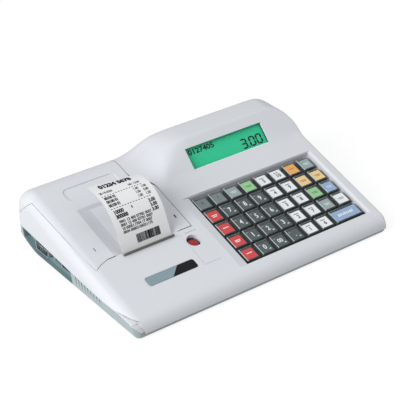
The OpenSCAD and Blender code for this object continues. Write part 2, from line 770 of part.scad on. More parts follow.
frame_grey = [0.2, 0.21, 0.23];
bucket_at = [53, 30.4];
bucket_d = 51;
bucket_t = 2;
bucket_rim_z = 40;
roll_at = [bucket_at[0], bucket_at[1] - (bucket_d / 2 - bucket_t - roll_d / 2) + fit_gap];
frame_half_w = 36.5;
cheek_t = 2;
gear_module = 0.8;
platen_teeth = 18;
pinion_teeth = 12;
gear_x = [-125.5, -121.5];
drive_angle = -50;
drive_gap = 0.2;
drive_distance = gear_module * (platen_teeth + pinion_teeth) / 2 + drive_gap;
pinion_at = [
    platen_at[0] + drive_distance * cos(drive_angle), platen_at[1] + drive_distance * sin(drive_angle)];
motor_x = [-144.5, -128.5];
motor_d = 20;
bracket_t = 1.5;
head_lean = 14;
head_half_w = 29.3;
support_half_w = 27.5;

// Children drawn with z pointing from the thermal head to the platen's axis
module on_head() {
    translate([printer_x, platen_at[0], platen_at[1]]) rotate([head_lean - 90, 0, 0]) children();
}
// Outline of a spur gear with a tooth pointing along the angle "first"
module gear_outline(teeth, first) {
    pitch_r = gear_module * teeth / 2;
    step = 360 / teeth;
    corners = [[pitch_r - 1.25 * gear_module, -0.31], [pitch_r + gear_module, -0.12],
               [pitch_r + gear_module, 0.12], [pitch_r - 1.25 * gear_module, 0.31]];
    polygon([for (i = [0:teeth - 1]) for (c = corners)
        let (a = first + (i + c[1]) * step) c[0] * [cos(a), sin(a)]]);
}
module printer_frame() {
    color(frame_grey) difference() {
        union() {
            box([printer_x - frame_half_w, -33, floor_z],
                [printer_x + frame_half_w, bucket_at[0] - 3, floor_z + 2]);
            box([motor_x[1], -22, floor_z], [printer_x - frame_half_w + 1, 4, floor_z + 2]);
            box([motor_x[1], -22, floor_z], [motor_x[1] + bracket_t, 4, 28]);
            for (x = [printer_x - frame_half_w, printer_x + frame_half_w - cheek_t])
                box([x, -26, floor_z], [x + cheek_t, -4, 33]);
            rod_x(printer_x - 31.5, printer_x + 31.5, bucket_at, bucket_d);
            on_head() box([-head_half_w, -3, -12], [head_half_w, 9, -10.4]);
            along_x(printer_x - support_half_w, printer_x + support_half_w) polygon([
                [-33, floor_z], [-25, floor_z], [-25, 16.8], [-27.6, 26.5], [-30, 26.5], [-33, 20]]);
        }
        rod_x(printer_x - 29.5, printer_x + 29.5, bucket_at, bucket_d - 2 * bucket_t);
        box([printer_x - 40, bucket_at[0] - bucket_d, bucket_rim_z],
            [printer_x + 40, bucket_at[0] + bucket_d, bucket_rim_z + 40]);
        along_x(printer_x - 50, printer_x + 50) {
            translate(platen_at) circle(2.6);
            polygon([
                platen_at + [-2.4, 0], platen_at + [2.4, 0], platen_at + [2.4, 10], platen_at + [-4.6, 10]]);
        }
        rod_x(motor_x[1] - 1, motor_x[1] + bracket_t + 1, pinion_at, 6);
    }
}
module platen_roller() {
    color(rubber_black) {
        rod_x(printer_x - 28.8, printer_x + 28.8, platen_at, platen_d);
        rod_x(-126, printer_x + frame_half_w + 0.6, platen_at, platen_shaft_d);
        along_x(gear_x[0], gear_x[1]) translate(platen_at) gear_outline(platen_teeth, drive_angle);
    }
}
module motor_pinion() {
    color(steel) {
        rod_x(motor_x[1] - 4, gear_x[1], pinion_at, 2);
        along_x(gear_x[0], gear_x[1])
            translate(pinion_at) gear_outline(pinion_teeth, drive_angle + 180 + 180 / pinion_teeth);
    }
}
module feed_motor() {
    color(steel) difference() {
        union() {
            rod_x(motor_x[0], motor_x[1], pinion_at, motor_d);
            rod_x(motor_x[1], motor_x[1] + bracket_t, pinion_at, 5.8);
        }
        rod_x(motor_x[1] - 5, motor_x[1] + 5, pinion_at, 2.1);
    }
}
module thermal_head() {
    color(steel) on_head() {
        box([-head_half_w, -5, -7.4], [head_half_w, 7, -6.4]);
        difference() {
            box([-head_half_w, -5, -10.4], [head_half_w, 9, -7.4]);
            for (x = [-20:10:20]) box([x - 2, 1, -11], [x + 2, 6, -8.6]);
        }
    }
}
module paper_roll() {
    color(key_white) difference() {
        rod_x(printer_x - paper_w / 2, printer_x + paper_w / 2, roll_at, roll_d);
        rod_x(printer_x - paper_w, printer_x + paper_w, roll_at, 12);
    }
}

// Ticket: it rises from the nip through the slot, then falls back over the lid in one soft curl
ticket_t = 0.3;
ticket_step = 3;
ticket_steps = 32;
nip_r = 6.2;
slot_run = 5;
slot_heading = 90 + head_lean;
lean_heading = 65;
curl_length = 85;
// For the left and the right edge: the run of the paper before the curl starts, and the curl's last heading
curl_starts = [17.5, 22.5];
curl_headings = [-7, -29];
function ticket_heading(s, edge) =
    slot_heading + (lean_heading - slot_heading) * ramp((s - slot_run) / 6)
    + (curl_headings[edge] - lean_heading) * ramp((s - curl_starts[edge]) / curl_length);
function ticket_path(p, i, edge) =
    i > ticket_steps ? [] :
    let (h = ticket_heading((i - 0.5) * ticket_step, edge),
         q = i == 0 ? p : p + ticket_step * [cos(h), sin(h)])
    concat([q], ticket_path(q, i + 1, edge));
module receipt_strip() {
    start = [platen_at[0] - nip_r * cos(head_lean), platen_at[1] - nip_r * sin(head_lean)];
    half = paper_w / 2 - 0.3;
    n = ticket_steps + 1;
    points = [for (side = [-1, 1]) for (edge = [0, 1])
        let (path = ticket_path(start, 0, edge))
        for (i = [0:n - 1])
            let (h = ticket_heading(i * ticket_step, edge) - 90,
                 q = path[i] + side * ticket_t / 2 * [cos(h), sin(h)])
            [printer_x + (2 * edge - 1) * half, q[0], q[1]]];
    quads = concat(
        [for (i = [0:n - 2]) [i, n + i, n + i + 1, i + 1]],
        [for (i = [0:n - 2]) [2 * n + i, 2 * n + i + 1, 3 * n + i + 1, 3 * n + i]],
        [for (i = [0:n - 2]) [i, i + 1, 2 * n + i + 1, 2 * n + i]],
        [for (i = [0:n - 2]) [n + i, 3 * n + i, 3 * n + i + 1, n + i + 1]],
        [[0, 2 * n, 3 * n, n], [n - 1, 2 * n - 1, 4 * n - 1, 3 * n - 1]]);
    faces = [for (q = quads) for (third = [2, 3]) [q[0], q[third - 1], q[third]]];
    color(key_white) polyhedron(points, faces, convexity = 6);
}

// ---------------------------------------------------------------- release button and displays

module release_button() {
    color(key_red) on_button() {
        translate([0, 0, -button_rest - 2.5]) cylinder(h = 2.5, d = button_d);
        translate([0, 0, -button_rest - 3]) cylinder(h = 1.4, d = flange_d);
        translate([0, 0, -button_rest - 12]) cylinder(h = 11, d = guide_bore - 0.1);
    }
}
lcd_green = [0.24, 0.73, 0.57];
module display_window() {
    color([0.75, 0.85, 0.85]) on_face()
        rounded_plate(display_size + [6, 5.6], 1, -lens_seat - lens_t, -lens_seat);
}
module customer_window() {
    color([0.75, 0.85, 0.85]) on_rear_face()
        rounded_plate(customer_size + [4, 3], 1, -lens_seat - lens_t, -lens_seat);
}
// A display unit: glass in a frame on its circuit board
module display_unit(glass, board) {
    glass_back = lens_seat + lens_t;
    color(lcd_green) {
        box([-glass[0] / 2, -glass[1] / 2, -board_front], [glass[0] / 2, glass[1] / 2, -glass_back]);
        box([-board[0] / 2, -board[1] / 2, -board_front - 1.6], [board[0] / 2, board[1] / 2, -board_front]);
        for (x = [-0.3, 0, 0.3])
            box([x * board[0] - 4, -4, -board_front - 3.2], [x * board[0] + 4, 4, -board_front - 1.6]);
    }
}
module display_module() {
    on_face() display_unit([100, 26], [110, 38]);
}
module customer_module() {
    on_rear_face() display_unit([86, 16.5], [102, 20]);
}

// ---------------------------------------------------------------- keys

cap_wall = 1.3;
cap_taper = 0.6;
cap_top_t = 1.8;
cap_edge = 0.5;
stem_depth = 9;
switch_board_t = 1.2;
wide_key = 2;
function key_span(row, column) = row == key_rows && column == wide_key_column ? wide_key : 1;
function key_x(row, column) = (column - 1 + key_span(row, column) / 2) * key_pitch;
function key_y(row) = -(row - 0.5) * key_pitch;

// Block with four leaning sides and a bevelled top edge, from z0 up to z1
module leaning_block(w, d, z0, z1, edge) {
    intersection() {
        along_y(-d, d) leaning_side(w / 2, z0, z1, edge);
        along_x(-w, w) leaning_side(d / 2, z0, z1, edge);
    }
}
module leaning_side(half, z0, z1, edge) {
    polygon([
        [-half, z0], [half, z0], [half - cap_taper, z1 - edge], [half - cap_taper - edge, z1],
        [-half + cap_taper + edge, z1], [-half + cap_taper, z1 - edge]]);
}
module key(row, column) {
    w = key_span(row, column) * key_pitch - key_gap;
    d = key_pitch - key_gap;
    color(key_colours[row - 1][column - 1])
        on_keyboard() translate([key_x(row, column), key_y(row), 0]) {
            difference() {
                leaning_block(w, d, -cap_h, 0, cap_edge);
                leaning_block(w - 2 * cap_wall, d - 2 * cap_wall, -cap_h - 0.01, -cap_top_t, 0.1);
            }
            box([-stem_w / 2, -stem_w / 2, -stem_depth], [stem_w / 2, stem_w / 2, -cap_top_t + 0.5]);
        }
}
// Plate with a square guide for each key, on top of the switch board
module key_plate() {
    color(key_dark) on_keyboard() difference() {
        union() {
            box([-6, -block_d - 1, -plate_top - plate_t], [block_w + 5, 4, -plate_top]);
            box([-4, -block_d, -plate_top - plate_t - switch_board_t],
                [block_w + 3, 2, -plate_top - plate_t]);
            at_keys() box([-guide_w / 2, -guide_w / 2, -plate_top], [guide_w / 2, guide_w / 2, -guide_top]);
        }
        at_keys() box([-stem_hole / 2, -stem_hole / 2, -plate_top - plate_t + 0.3],
                      [stem_hole / 2, stem_hole / 2, 1]);
    }
}
module at_keys() {
    for (row = [1:key_rows]) for (column = [1:keys_in_row(row)])
        translate([key_x(row, column), key_y(row), 0]) children();
}

// ---------------------------------------------------------------- circuit boards

module main_board() {
    top = main_board_z + 1.6;
    color(board_green) {
        box([main_board_low[0], main_board_low[1], main_board_z],
            [main_board_high[0], main_board_high[1] - 18, top]);
        box([52, 34, top], [66, 48, top + 1.4]);
        box([74, 36, top], [86, 46, top + 1.4]);
        box([14, 52, top], [40, 62, top + 9]);
        for (x = [20:14:104]) translate([x, 26, top]) cylinder(h = 8, d = 7);
        translate([112, 52, top]) cylinder(h = 3.2, d = 20);
    }
}
module port_board() {
    color(board_green) {
        box([panel_x + panel_t + 0.2, 5.5, board_z], [-121, 65, board_z + 1.6]);
        for (c = connectors) difference() {
            box([panel_x - c[4] + 0.4, c[0] - c[2] / 2, c[1] - c[3] / 2],
                [panel_x + 14, c[0] + c[2] / 2, c[1] + c[3] / 2]);
            box([panel_x - 20, c[0] - c[2] / 2 + 1.5, c[1] - c[3] / 2 + 1.5],
                [panel_x - c[4] + 3.9, c[0] + c[2] / 2 - 1.5, c[1] + c[3] / 2 - 1.5]);
        }
        box([panel_x + panel_t + 0.2, dsub[0] - 14.5, dsub[1] - 3.6],
            [panel_x + panel_t + 1.2, dsub[0] + 14.5, dsub[1] + 5.2]);
        for (c = connectors)
            box([panel_x + panel_t + 1, c[0] - c[2] / 3, board_z + 1], [panel_x + 12, c[0] + c[2] / 3, c[1]]);
    }
}

top_case();
bottom_case();
printer_lid();
hinge_rod();
printer_frame();
platen_roller();
feed_motor();
motor_pinion();
thermal_head();
paper_roll();
receipt_strip();
release_button();
display_window();
display_module();
customer_window();
customer_module();
key_plate();
main_board();
port_board();
feet();
case_screws();
for (row = [1:key_rows]) for (column = [1:keys_in_row(row)])
    key(row, column);
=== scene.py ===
# %% [markdown]
# # A ticket register, dressed for a picture
# The solid model of the register is already made. It comes in as a fixed frame of named nodes, and nothing
# in it is moved here. This notebook gives those nodes their finishes, and adds what a picture needs beyond
# plain solids: clear key covers over coloured cards, printed digits, a curled ticket and sockets for plugs.
# All lengths are in metres, +X is the operator's right, +Y is towards the customer and +Z is up.

# %% Load the frame
import math
import random
import bmesh
import bpy
from mathutils import Matrix, Vector


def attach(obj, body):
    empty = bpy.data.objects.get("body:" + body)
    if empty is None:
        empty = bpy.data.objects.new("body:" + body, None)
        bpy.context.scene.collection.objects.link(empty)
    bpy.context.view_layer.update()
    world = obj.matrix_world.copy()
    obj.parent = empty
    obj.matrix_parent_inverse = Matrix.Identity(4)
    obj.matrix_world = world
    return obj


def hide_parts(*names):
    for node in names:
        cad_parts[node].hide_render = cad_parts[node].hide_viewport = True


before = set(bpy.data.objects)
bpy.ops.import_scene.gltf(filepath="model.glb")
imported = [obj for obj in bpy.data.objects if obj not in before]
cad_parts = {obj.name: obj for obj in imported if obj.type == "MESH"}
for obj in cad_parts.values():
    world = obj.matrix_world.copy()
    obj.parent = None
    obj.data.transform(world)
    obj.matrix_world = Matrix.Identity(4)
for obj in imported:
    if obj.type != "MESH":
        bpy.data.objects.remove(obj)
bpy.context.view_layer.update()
MM = 0.001
random.seed(7)

# %% [markdown]
# ## Leaning planes
# Most of the register leans. Each piece is modelled flat on the world's floor, where "up" is plainly z, and
# is then carried to its place by one matrix. These are the same planes that the solid model is built on: the
# deck, the plane of the key tops, the plane of the operator's display and the tower's rear face. The ticket's
# slot, the badge and the ticket itself share one middle line on the deck, slot_x.

# %% The planes of the deck, keyboard and displays
def plane(x, y, z, tilt):
    return Matrix.Translation((x * MM, y * MM, z * MM)) @ Matrix.Rotation(math.radians(tilt), 4, "X")

deck_height, deck_tilt, slot_x = 44.2, 16.3, -84
deck_plane = plane(0, 0, deck_height, deck_tilt)
key_plane = plane(-10.5, 8.75, 44, 15.2)
display_plane = plane(65, 44.9, 64.4, 44.2)
customer_plane = plane(65, 98.64, 59.5, 14 - 90) @ Matrix.Rotation(math.pi, 4, "Z")

def deck_run(y):
    """Distance along the deck of a point that is y millimetres behind the middle."""
    return y / math.cos(math.radians(deck_tilt))

def above_deck(at):
    """Height in millimetres of a point over the deck's plane, measured upright."""
    return at.z - deck_height - at.y * math.tan(math.radians(deck_tilt))

def on_deck(x, y):
    """The matrix that carries a flat piece to the deck, x and y millimetres from the middle."""
    return deck_plane @ Matrix.Translation((x * MM, deck_run(y) * MM, 0))

print("normal of the deck:", [round(v, 3) for v in deck_plane.to_3x3() @ Vector((0, 0, 1))])

# %% [markdown]
# ## A few hand tools
# Blender's operators act on whatever is selected, and the frame arrives selected. So every piece starts with
# a clean selection. In edit mode faces and edges are picked by a test on their place or normal, just as the
# mouse would pick them, and then the usual operators do the shaping. Inset draws a picked face inwards, push
# pulls it out or sinks it, and coat gives it another of the piece's finishes.

# %% Selecting and picking
def clear():
    if bpy.context.mode != "OBJECT":
        bpy.ops.object.mode_set(mode="OBJECT")
    bpy.ops.object.select_all(action="DESELECT")

def only(*objs):
    clear()
    for o in objs:
        o.select_set(True)
    bpy.context.view_layer.objects.active = objs[0]

def edit(obj):
    only(obj)
    bpy.ops.object.mode_set(mode="EDIT")

def leave():
    bpy.ops.object.mode_set(mode="OBJECT")

def pick(obj, test, kind="faces"):
    """In edit mode, select the faces or edges that pass the test, and say how many."""
    mesh = bmesh.from_edit_mesh(obj.data)
    bpy.ops.mesh.select_all(action="DESELECT")
    bpy.ops.mesh.select_mode(type="FACE" if kind == "faces" else "EDGE")
    found = [e for e in getattr(mesh, kind) if test(e)]
    for e in found:
        e.select_set(True)
    mesh.select_flush_mode()
    bmesh.update_edit_mesh(obj.data)
    return len(found)

def middle(face):
    return face.calc_center_median()

print("picking tools ready")

# %% Shaping what is picked
def inset(width, depth=0):
    bpy.ops.mesh.inset(thickness=width * MM, depth=depth * MM)

def push(height):
    bpy.ops.mesh.extrude_region_move(TRANSFORM_OT_translate={"value": (0, 0, height * MM)})

def coat(obj, slot):
    obj.active_material_index = slot
    bpy.ops.object.material_slot_assign()

def give(obj, *mats):
    """Append finishes to the slots of a piece."""
    for mat in mats:
        obj.data.materials.append(mat)
    return obj

def apply(obj, kind, **settings):
    """Add a modifier, set it up and apply it."""
    only(obj)
    mod = obj.modifiers.new(kind.lower(), kind)
    for key, value in settings.items():
        setattr(mod, key, value)
    bpy.ops.object.modifier_apply(modifier=mod.name)
    return obj

def bevel(obj, width, segments=2, angle=30):
    """Round the sharp edges."""
    return apply(obj, "BEVEL", width=width * MM, segments=segments, limit_method="ANGLE",
                 angle_limit=math.radians(angle))

def soften(obj, angle):
    only(obj)
    bpy.ops.object.shade_smooth_by_angle(angle=math.radians(angle))
    return obj

print("shaping tools ready")

# %% Making and placing pieces
def named(name):
    obj = bpy.context.object
    obj.name = obj.data.name = name
    return obj

def block(name, size, centre):
    """A cube primitive at its size in millimetres, its place already in its mesh."""
    clear()
    bpy.ops.mesh.primitive_cube_add(size=1, location=[c * MM for c in centre], scale=[s * MM for s in size])
    bpy.ops.object.transform_apply(location=True, rotation=True, scale=True)
    return named(name)

def disc(name, d, z0, z1, sides=48):
    """A cylinder primitive between two heights, in millimetres."""
    clear()
    bpy.ops.mesh.primitive_cylinder_add(vertices=sides, radius=d / 2 * MM, depth=(z1 - z0) * MM,
                                        location=(0, 0, (z0 + z1) / 2 * MM))
    bpy.ops.object.transform_apply(location=True, rotation=True, scale=True)
    return named(name)

def join(name, objs):
    only(*objs)
    if len(objs) > 1:
        bpy.ops.object.join()
    return named(name)

def copy_of(obj, name):
    new = bpy.data.objects.new(name, obj.data.copy())
    new.data.name = name
    bpy.context.scene.collection.objects.link(new)
    return new

def place(obj, matrix, body):
    """Carry the mesh to its place, and let the piece ride on a body of the frame."""
    obj.data.transform(matrix)
    obj.matrix_world = Matrix.Identity(4)
    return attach(obj, body)

print("making tools ready")

# %% [markdown]
# ## Moulded plastic
# A moulded case is never one flat colour. The tool's surface leaves a fine spark-eroded grain, which the
# light catches as a slight change of gloss, and thick and thin walls cool to very slightly different tones.
# Both could be painted in every material by hand. One node group does it for all of them: it takes a
# position, a colour, a grain size and strengths, and gives back colour, roughness and a height for the bump.
# A few small functions first say in one line what nodes would take five for: sums, fades and axes.

# %% Node tools
def calc(tree, operation, *values):
    """A Math node. Each value is a number or the output of another node."""
    node = tree.nodes.new("ShaderNodeMath")
    node.operation = operation
    for socket, value in zip(node.inputs, values):
        if isinstance(value, float):
            socket.default_value = value
        else:
            tree.links.new(value, socket)
    return node.outputs[0]

def fade(tree, value, start, end):
    """0 up to start, 1 from end on, and an even slope between them."""
    node = tree.nodes.new("ShaderNodeMapRange")
    node.inputs["From Min"].default_value, node.inputs["From Max"].default_value = start, end
    tree.links.new(value, node.inputs["Value"])
    return node.outputs[0]

def axes_of(tree, vector):
    node = tree.nodes.new("ShaderNodeSeparateXYZ")
    tree.links.new(vector, node.inputs[0])
    return node.outputs

print("node tools ready")

# %% The moulding group
def new_group(name, inputs, outputs):
    group = bpy.data.node_groups.new(name, "ShaderNodeTree")
    for title, kind, default in inputs:
        socket = group.interface.new_socket(title, in_out="INPUT", socket_type=kind)
        if default is not None:
            socket.default_value = default
    for title, kind in outputs:
        group.interface.new_socket(title, in_out="OUTPUT", socket_type=kind)
    return group, group.nodes.new("NodeGroupInput"), group.nodes.new("NodeGroupOutput")

moulding, given, made = new_group(
    "moulding",
    [("Vector", "NodeSocketVector", None), ("Color", "NodeSocketColor", None),
     ("Grain", "NodeSocketFloat", 1500.0), ("Tone", "NodeSocketFloat", 0.05),
     ("Roughness", "NodeSocketFloat", 0.4), ("Gloss Change", "NodeSocketFloat", 0.1)],
    [("Color", "NodeSocketColor"), ("Roughness", "NodeSocketFloat"), ("Height", "NodeSocketFloat")])
nodes, wire = moulding.nodes, moulding.links.new
grain = nodes.new("ShaderNodeTexNoise")
grain.inputs["Detail"].default_value = 3
wire(given.outputs["Vector"], grain.inputs["Vector"])
wire(given.outputs["Grain"], grain.inputs["Scale"])
cooling = nodes.new("ShaderNodeTexNoise")
cooling.inputs["Scale"].default_value = 14
cooling.inputs["Detail"].default_value = 4
wire(given.outputs["Vector"], cooling.inputs["Vector"])
darker = nodes.new("ShaderNodeMix")
darker.data_type, darker.blend_type = "RGBA", "MULTIPLY"
darker.inputs[7].default_value = (0.55, 0.6, 0.66, 1)
wire(calc(moulding, "MULTIPLY", cooling.outputs["Fac"], given.outputs["Tone"]), darker.inputs["Factor"])
wire(given.outputs["Color"], darker.inputs[6])
gloss = calc(moulding, "MULTIPLY_ADD", grain.outputs["Fac"], given.outputs["Gloss Change"],
             given.outputs["Roughness"])
wire(darker.outputs[2], made.inputs["Color"])
wire(gloss, made.inputs["Roughness"])
wire(grain.outputs["Fac"], made.inputs["Height"])
print("group", moulding.name, "has", len(nodes), "nodes")

# %% [markdown]
# ## One recipe, many finishes
# Case, base, keys, cards, rubber and steel differ in colour, grain and gloss, not in kind. A single function
# builds each material round its own Principled shader and the group above. What is the same all over the
# surface, such as how metallic it is, is set on the shader's own socket.

# %% Materials
def finish(name, colour, roughness, grain=1500, depth=0.02, tone=0.12, change=0.12, **sockets):
    mat = bpy.data.materials.new(name)
    mat.use_nodes = True
    nodes, wire = mat.node_tree.nodes, mat.node_tree.links.new
    shader = nodes["Principled BSDF"]
    where = nodes.new("ShaderNodeTexCoord")
    group = nodes.new("ShaderNodeGroup")
    group.node_tree = moulding
    wire(where.outputs["Object"], group.inputs["Vector"])
    group.inputs["Color"].default_value = (*colour, 1)
    group.inputs["Grain"].default_value = grain
    group.inputs["Tone"].default_value = tone
    group.inputs["Roughness"].default_value = roughness - change / 2
    group.inputs["Gloss Change"].default_value = change
    wire(group.outputs["Color"], shader.inputs["Base Color"])
    wire(group.outputs["Roughness"], shader.inputs["Roughness"])
    bump = nodes.new("ShaderNodeBump")
    bump.inputs["Strength"].default_value = 0.5
    bump.inputs["Distance"].default_value = depth * MM
    wire(group.outputs["Height"], bump.inputs["Height"])
    wire(bump.outputs["Normal"], shader.inputs["Normal"])
    for socket, value in sockets.items():
        shader.inputs[socket.replace("_", " ")].default_value = value
    mat.diffuse_color = (*colour, 1)
    return mat

case_white = finish("case_white", (0.675, 0.69, 0.72), 0.42, tone=0.08)
base_grey = finish("base_grey", (0.39, 0.46, 0.47), 0.45)
zinc_steel = finish("zinc_steel", (0.55, 0.56, 0.57), 0.32, grain=700, depth=0.01, Metallic=1.0)
black_rubber = finish("black_rubber", (0.02, 0.02, 0.022), 0.75, grain=900, depth=0.05)
frame_black = finish("frame_black", (0.03, 0.033, 0.037), 0.5)
board_green = finish("board_green", (0.02, 0.12, 0.06), 0.4, grain=400)
head_alloy = finish("head_alloy", (0.45, 0.46, 0.48), 0.4, grain=600, Metallic=0.9)
paper_white = finish("paper_white", (0.80, 0.81, 0.80), 0.7, grain=2500, depth=0.03, tone=0.05)
button_red = finish("button_red", (0.36, 0.011, 0.009), 0.3, depth=0.005, Coat_Weight=0.2)
key_slate = finish("key_slate", (0.032, 0.046, 0.048), 0.35)
print("finishes:", len(bpy.data.materials))

# %% [markdown]
# ## A soft nose
# Where the deck bends down to the front wall the mould is hand-dressed, and no edge can be felt. The Bevel
# node averages the normals round a point, as such dressing does. Three masks keep it to the front left of the
# deck: two by place and one by slope, so that the lid, its scoop, the keyboard and all walls stay crisp.

# %% Softening the front left of the case
skin_tree = case_white.node_tree
nodes, wire = skin_tree.nodes, skin_tree.links.new
round_edge = nodes.new("ShaderNodeBevel")
round_edge.samples = 6
round_edge.inputs["Radius"].default_value = 3 * MM
plain = nodes.new("ShaderNodeNewGeometry")
spot = axes_of(skin_tree, nodes.new("ShaderNodeTexCoord").outputs["Object"])
slope = axes_of(skin_tree, plain.outputs["Normal"])
at_left = fade(skin_tree, spot["X"], -0.02, -0.035)
in_front = fade(skin_tree, spot["Y"], -0.045, -0.06)
nearly_level = fade(skin_tree, slope["Z"], 0.88, 0.94)
corner = calc(skin_tree, "MULTIPLY", at_left, in_front)
soft = nodes.new("ShaderNodeMix")
soft.data_type = "VECTOR"
wire(calc(skin_tree, "MULTIPLY", corner, nearly_level), soft.inputs[0])
wire(plain.outputs["Normal"], soft.inputs[4])
wire(round_edge.outputs[0], soft.inputs[5])
bump = next(node for node in nodes if node.bl_idname == "ShaderNodeBump")
wire(soft.outputs[1], bump.inputs["Normal"])
print("nose softened")

# %% [markdown]
# ## Painted shade in the recess
# The base is one grey-green moulding, and the recess for the connectors lies in shade. That shade is painted
# into the base's colour as a darker grey-green inside the recess. The paint follows the place on the object:
# a mask is 1 where a point lies deep enough behind the left side and between the recess's two ends, and it
# fades in at the recess's rim.

# %% Painted shade inside the recess
base_tree = base_grey.node_tree
nodes, wire = base_tree.nodes, base_tree.links.new
spot = axes_of(base_tree, nodes.new("ShaderNodeTexCoord").outputs["Object"])
# The mask of the painted shade: it fades in behind the left side and is cut to the recess's two ends.
recess_shade = fade(base_tree, spot["X"], -0.1535, -0.1512)
for axis, centre, reach in (("X", -0.151, 0.0055), ("Y", 0.0473, 0.0431)):
    inside = calc(base_tree, "COMPARE", spot[axis], centre, reach)
    recess_shade = calc(base_tree, "MULTIPLY", recess_shade, inside)
shade_paint = nodes.new("ShaderNodeMix")
shade_paint.data_type = "RGBA"
# The colour of the painted shade inside the recess.
shade_paint.inputs[7].default_value = (0.18, 0.27, 0.285, 1)
wire(recess_shade, shade_paint.inputs[0])
shader = nodes["Principled BSDF"]
wire(shader.inputs["Base Color"].links[0].from_socket, shade_paint.inputs[6])
wire(shade_paint.outputs[2], shader.inputs["Base Color"])
print("recess painted")

# %% [markdown]
# ## Dressing the frame
# A CAD node is a loose set of flat triangles. Where it is flat or small, it only needs its finish. The big
# mouldings are curved, though, and flat triangles would show as facets. Smooth shading needs neighbours to
# share their corners, so the mesh is copied, its doubled corners are merged, and every edge flatter than a
# chosen angle is shaded smooth. Weighted normals then let large faces count for more than slivers, which
# takes out the last streaks. The copy stands for the node.

# %% Finishes for nodes, and smooth skins
def dress(obj, mat):
    obj.data.materials.clear()
    return give(obj, mat)

smooth_angle, merge_distance = 24, 0.004 * MM

def skin_of(node, name, mat, body):
    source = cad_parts[node]
    skin = dress(copy_of(source, name), mat)
    only(skin)
    if skin.data.has_custom_normals:
        bpy.ops.mesh.customdata_custom_splitnormals_clear()
    edit(skin)
    bpy.ops.mesh.select_all(action="SELECT")
    bpy.ops.mesh.remove_doubles(threshold=merge_distance)
    leave()
    apply(soften(skin, smooth_angle), "WEIGHTED_NORMAL", keep_sharp=True)
    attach(skin, body)
    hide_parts(node)
    print(name, "from", len(source.data.vertices), "to", len(skin.data.vertices), "corners")
    return skin

upper = skin_of("top_case", "upper_case", case_white, "base")
lower = skin_of("bottom_case", "lower_case", base_grey, "base")
lid = skin_of("printer_lid", "lid", case_white, "lid")

for node, mat in {"hinge_rod": zinc_steel, "printer_frame": frame_black, "platen_roller": black_rubber,
                  "feed_motor": zinc_steel, "motor_pinion": zinc_steel, "thermal_head": head_alloy,
                  "paper_roll": paper_white, "key_plate": frame_black, "main_board": board_green,
                  "feet": black_rubber, "case_screws": zinc_steel}.items():
    dress(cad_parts[node], mat)
print("dressed the plain nodes")

# %% [markdown]
# ## Crisp creases
# Smooth shading by angle has one weakness: a crease can be real and still shallow. The scoop in the lid and
# the strips beside the keys turn by only ten degrees or so, and would melt into the deck. Their edges are
# picked by place and by the angle that they turn, and marked sharp.

# %% Marking shallow creases
def mark_creases(obj, least_angle, *boxes):
    """Keep edges crisp that turn by more than the least angle and lie near the deck in one of the boxes."""
    edit(obj)
    def shallow(e):
        at = (e.verts[0].co + e.verts[1].co) / 2 / MM
        return (-3.4 < above_deck(at) < 0.4 and e.calc_face_angle(0) > math.radians(least_angle)
                and any(x0 < at.x < x1 and y0 < at.y < y1 for x0, x1, y0, y1 in boxes))
    found = pick(obj, shallow, "edges")
    bpy.ops.mesh.mark_sharp()
    leave()
    print(obj.name, "has", found, "edges kept crisp")

mark_creases(lid, 6, (-123, -44, -25, 46))
mark_creases(upper, 5, (-31, -10, -86, 12), (142, 150, -86, 12))

# %% [markdown]
# ## Painted shade in the seams
# A gap between two mouldings looks almost black, because hardly any light finds its way in and out again. In
# a picture such a gap is thinner than one dot, and white walls would let it vanish. So the walls of the gap
# round the lid get painted shade, a dark finish of their own. They are the faces that stand upright on the
# deck.

# %% Painting shade on the walls of the lid's gap
# Near black: the painted shade for the walls of the seams.
seam_shade_paint = finish("seam_shade_paint", (0.03, 0.032, 0.035), 0.7)

def paint_gap(obj, x0, x1, y0, y1, deep, lean):
    """Paint shade on the walls in a box that lie no deeper than deep and stand upright on the deck within
    lean.
    """
    edit(give(obj, seam_shade_paint))
    upright = deck_plane.to_3x3() @ Vector((0, 0, 1))
    def wall(f):
        at = middle(f) / MM
        return (-deep < above_deck(at) < -0.1 and abs(f.normal.dot(upright)) < lean
                and x0 < at.x < x1 and y0 < at.y < y1)
    found = pick(obj, wall)
    coat(obj, len(obj.data.materials) - 1)
    leave()
    print(obj.name, "has", found, "dark faces")

# Painted shade on the gap's walls round the lid's front and sides, and round its rear right corner.
for moulding_skin in (lid, upper):
    paint_gap(moulding_skin, -131, -28, -30, 60, 9, 0.4)
    paint_gap(moulding_skin, -51, -28, 40, 92, 45, 0.16)

# %% [markdown]
# ## Print
# Digits on keys, display and ticket are thin raised shapes, as a pad printer leaves them. A Text object gives
# their outlines. It is made a mesh while it still lies flat at the origin, because a text has no corners to
# move, and only then is it carried to its place.

# %% Digits and bars
def digits(name, text, size, at, z, mat, bold, stretch, align="CENTER"):
    """A flat text as a mesh. Bold swells its outline by so much, and stretch widens it."""
    clear()
    bpy.ops.object.text_add(location=(0, 0, 0))
    obj = bpy.context.object
    obj.data.body, obj.data.size = text, size * MM
    obj.data.align_x, obj.data.align_y = align, "CENTER"
    obj.data.offset, obj.data.extrude = bold * MM, 0.01 * MM
    obj.data.resolution_u = 3
    bpy.ops.object.convert(target="MESH")
    obj = named(name)
    obj.data.transform(Matrix.Diagonal((stretch, 1, 1, 1)))
    obj.data.transform(Matrix.Translation((at[0] * MM, at[1] * MM, z * MM)))
    return dress(obj, mat)

def bar(name, size, at, z, mat):
    return give(block(name, (*size, 0.02), (*at, z)), mat)

print("print tools ready")

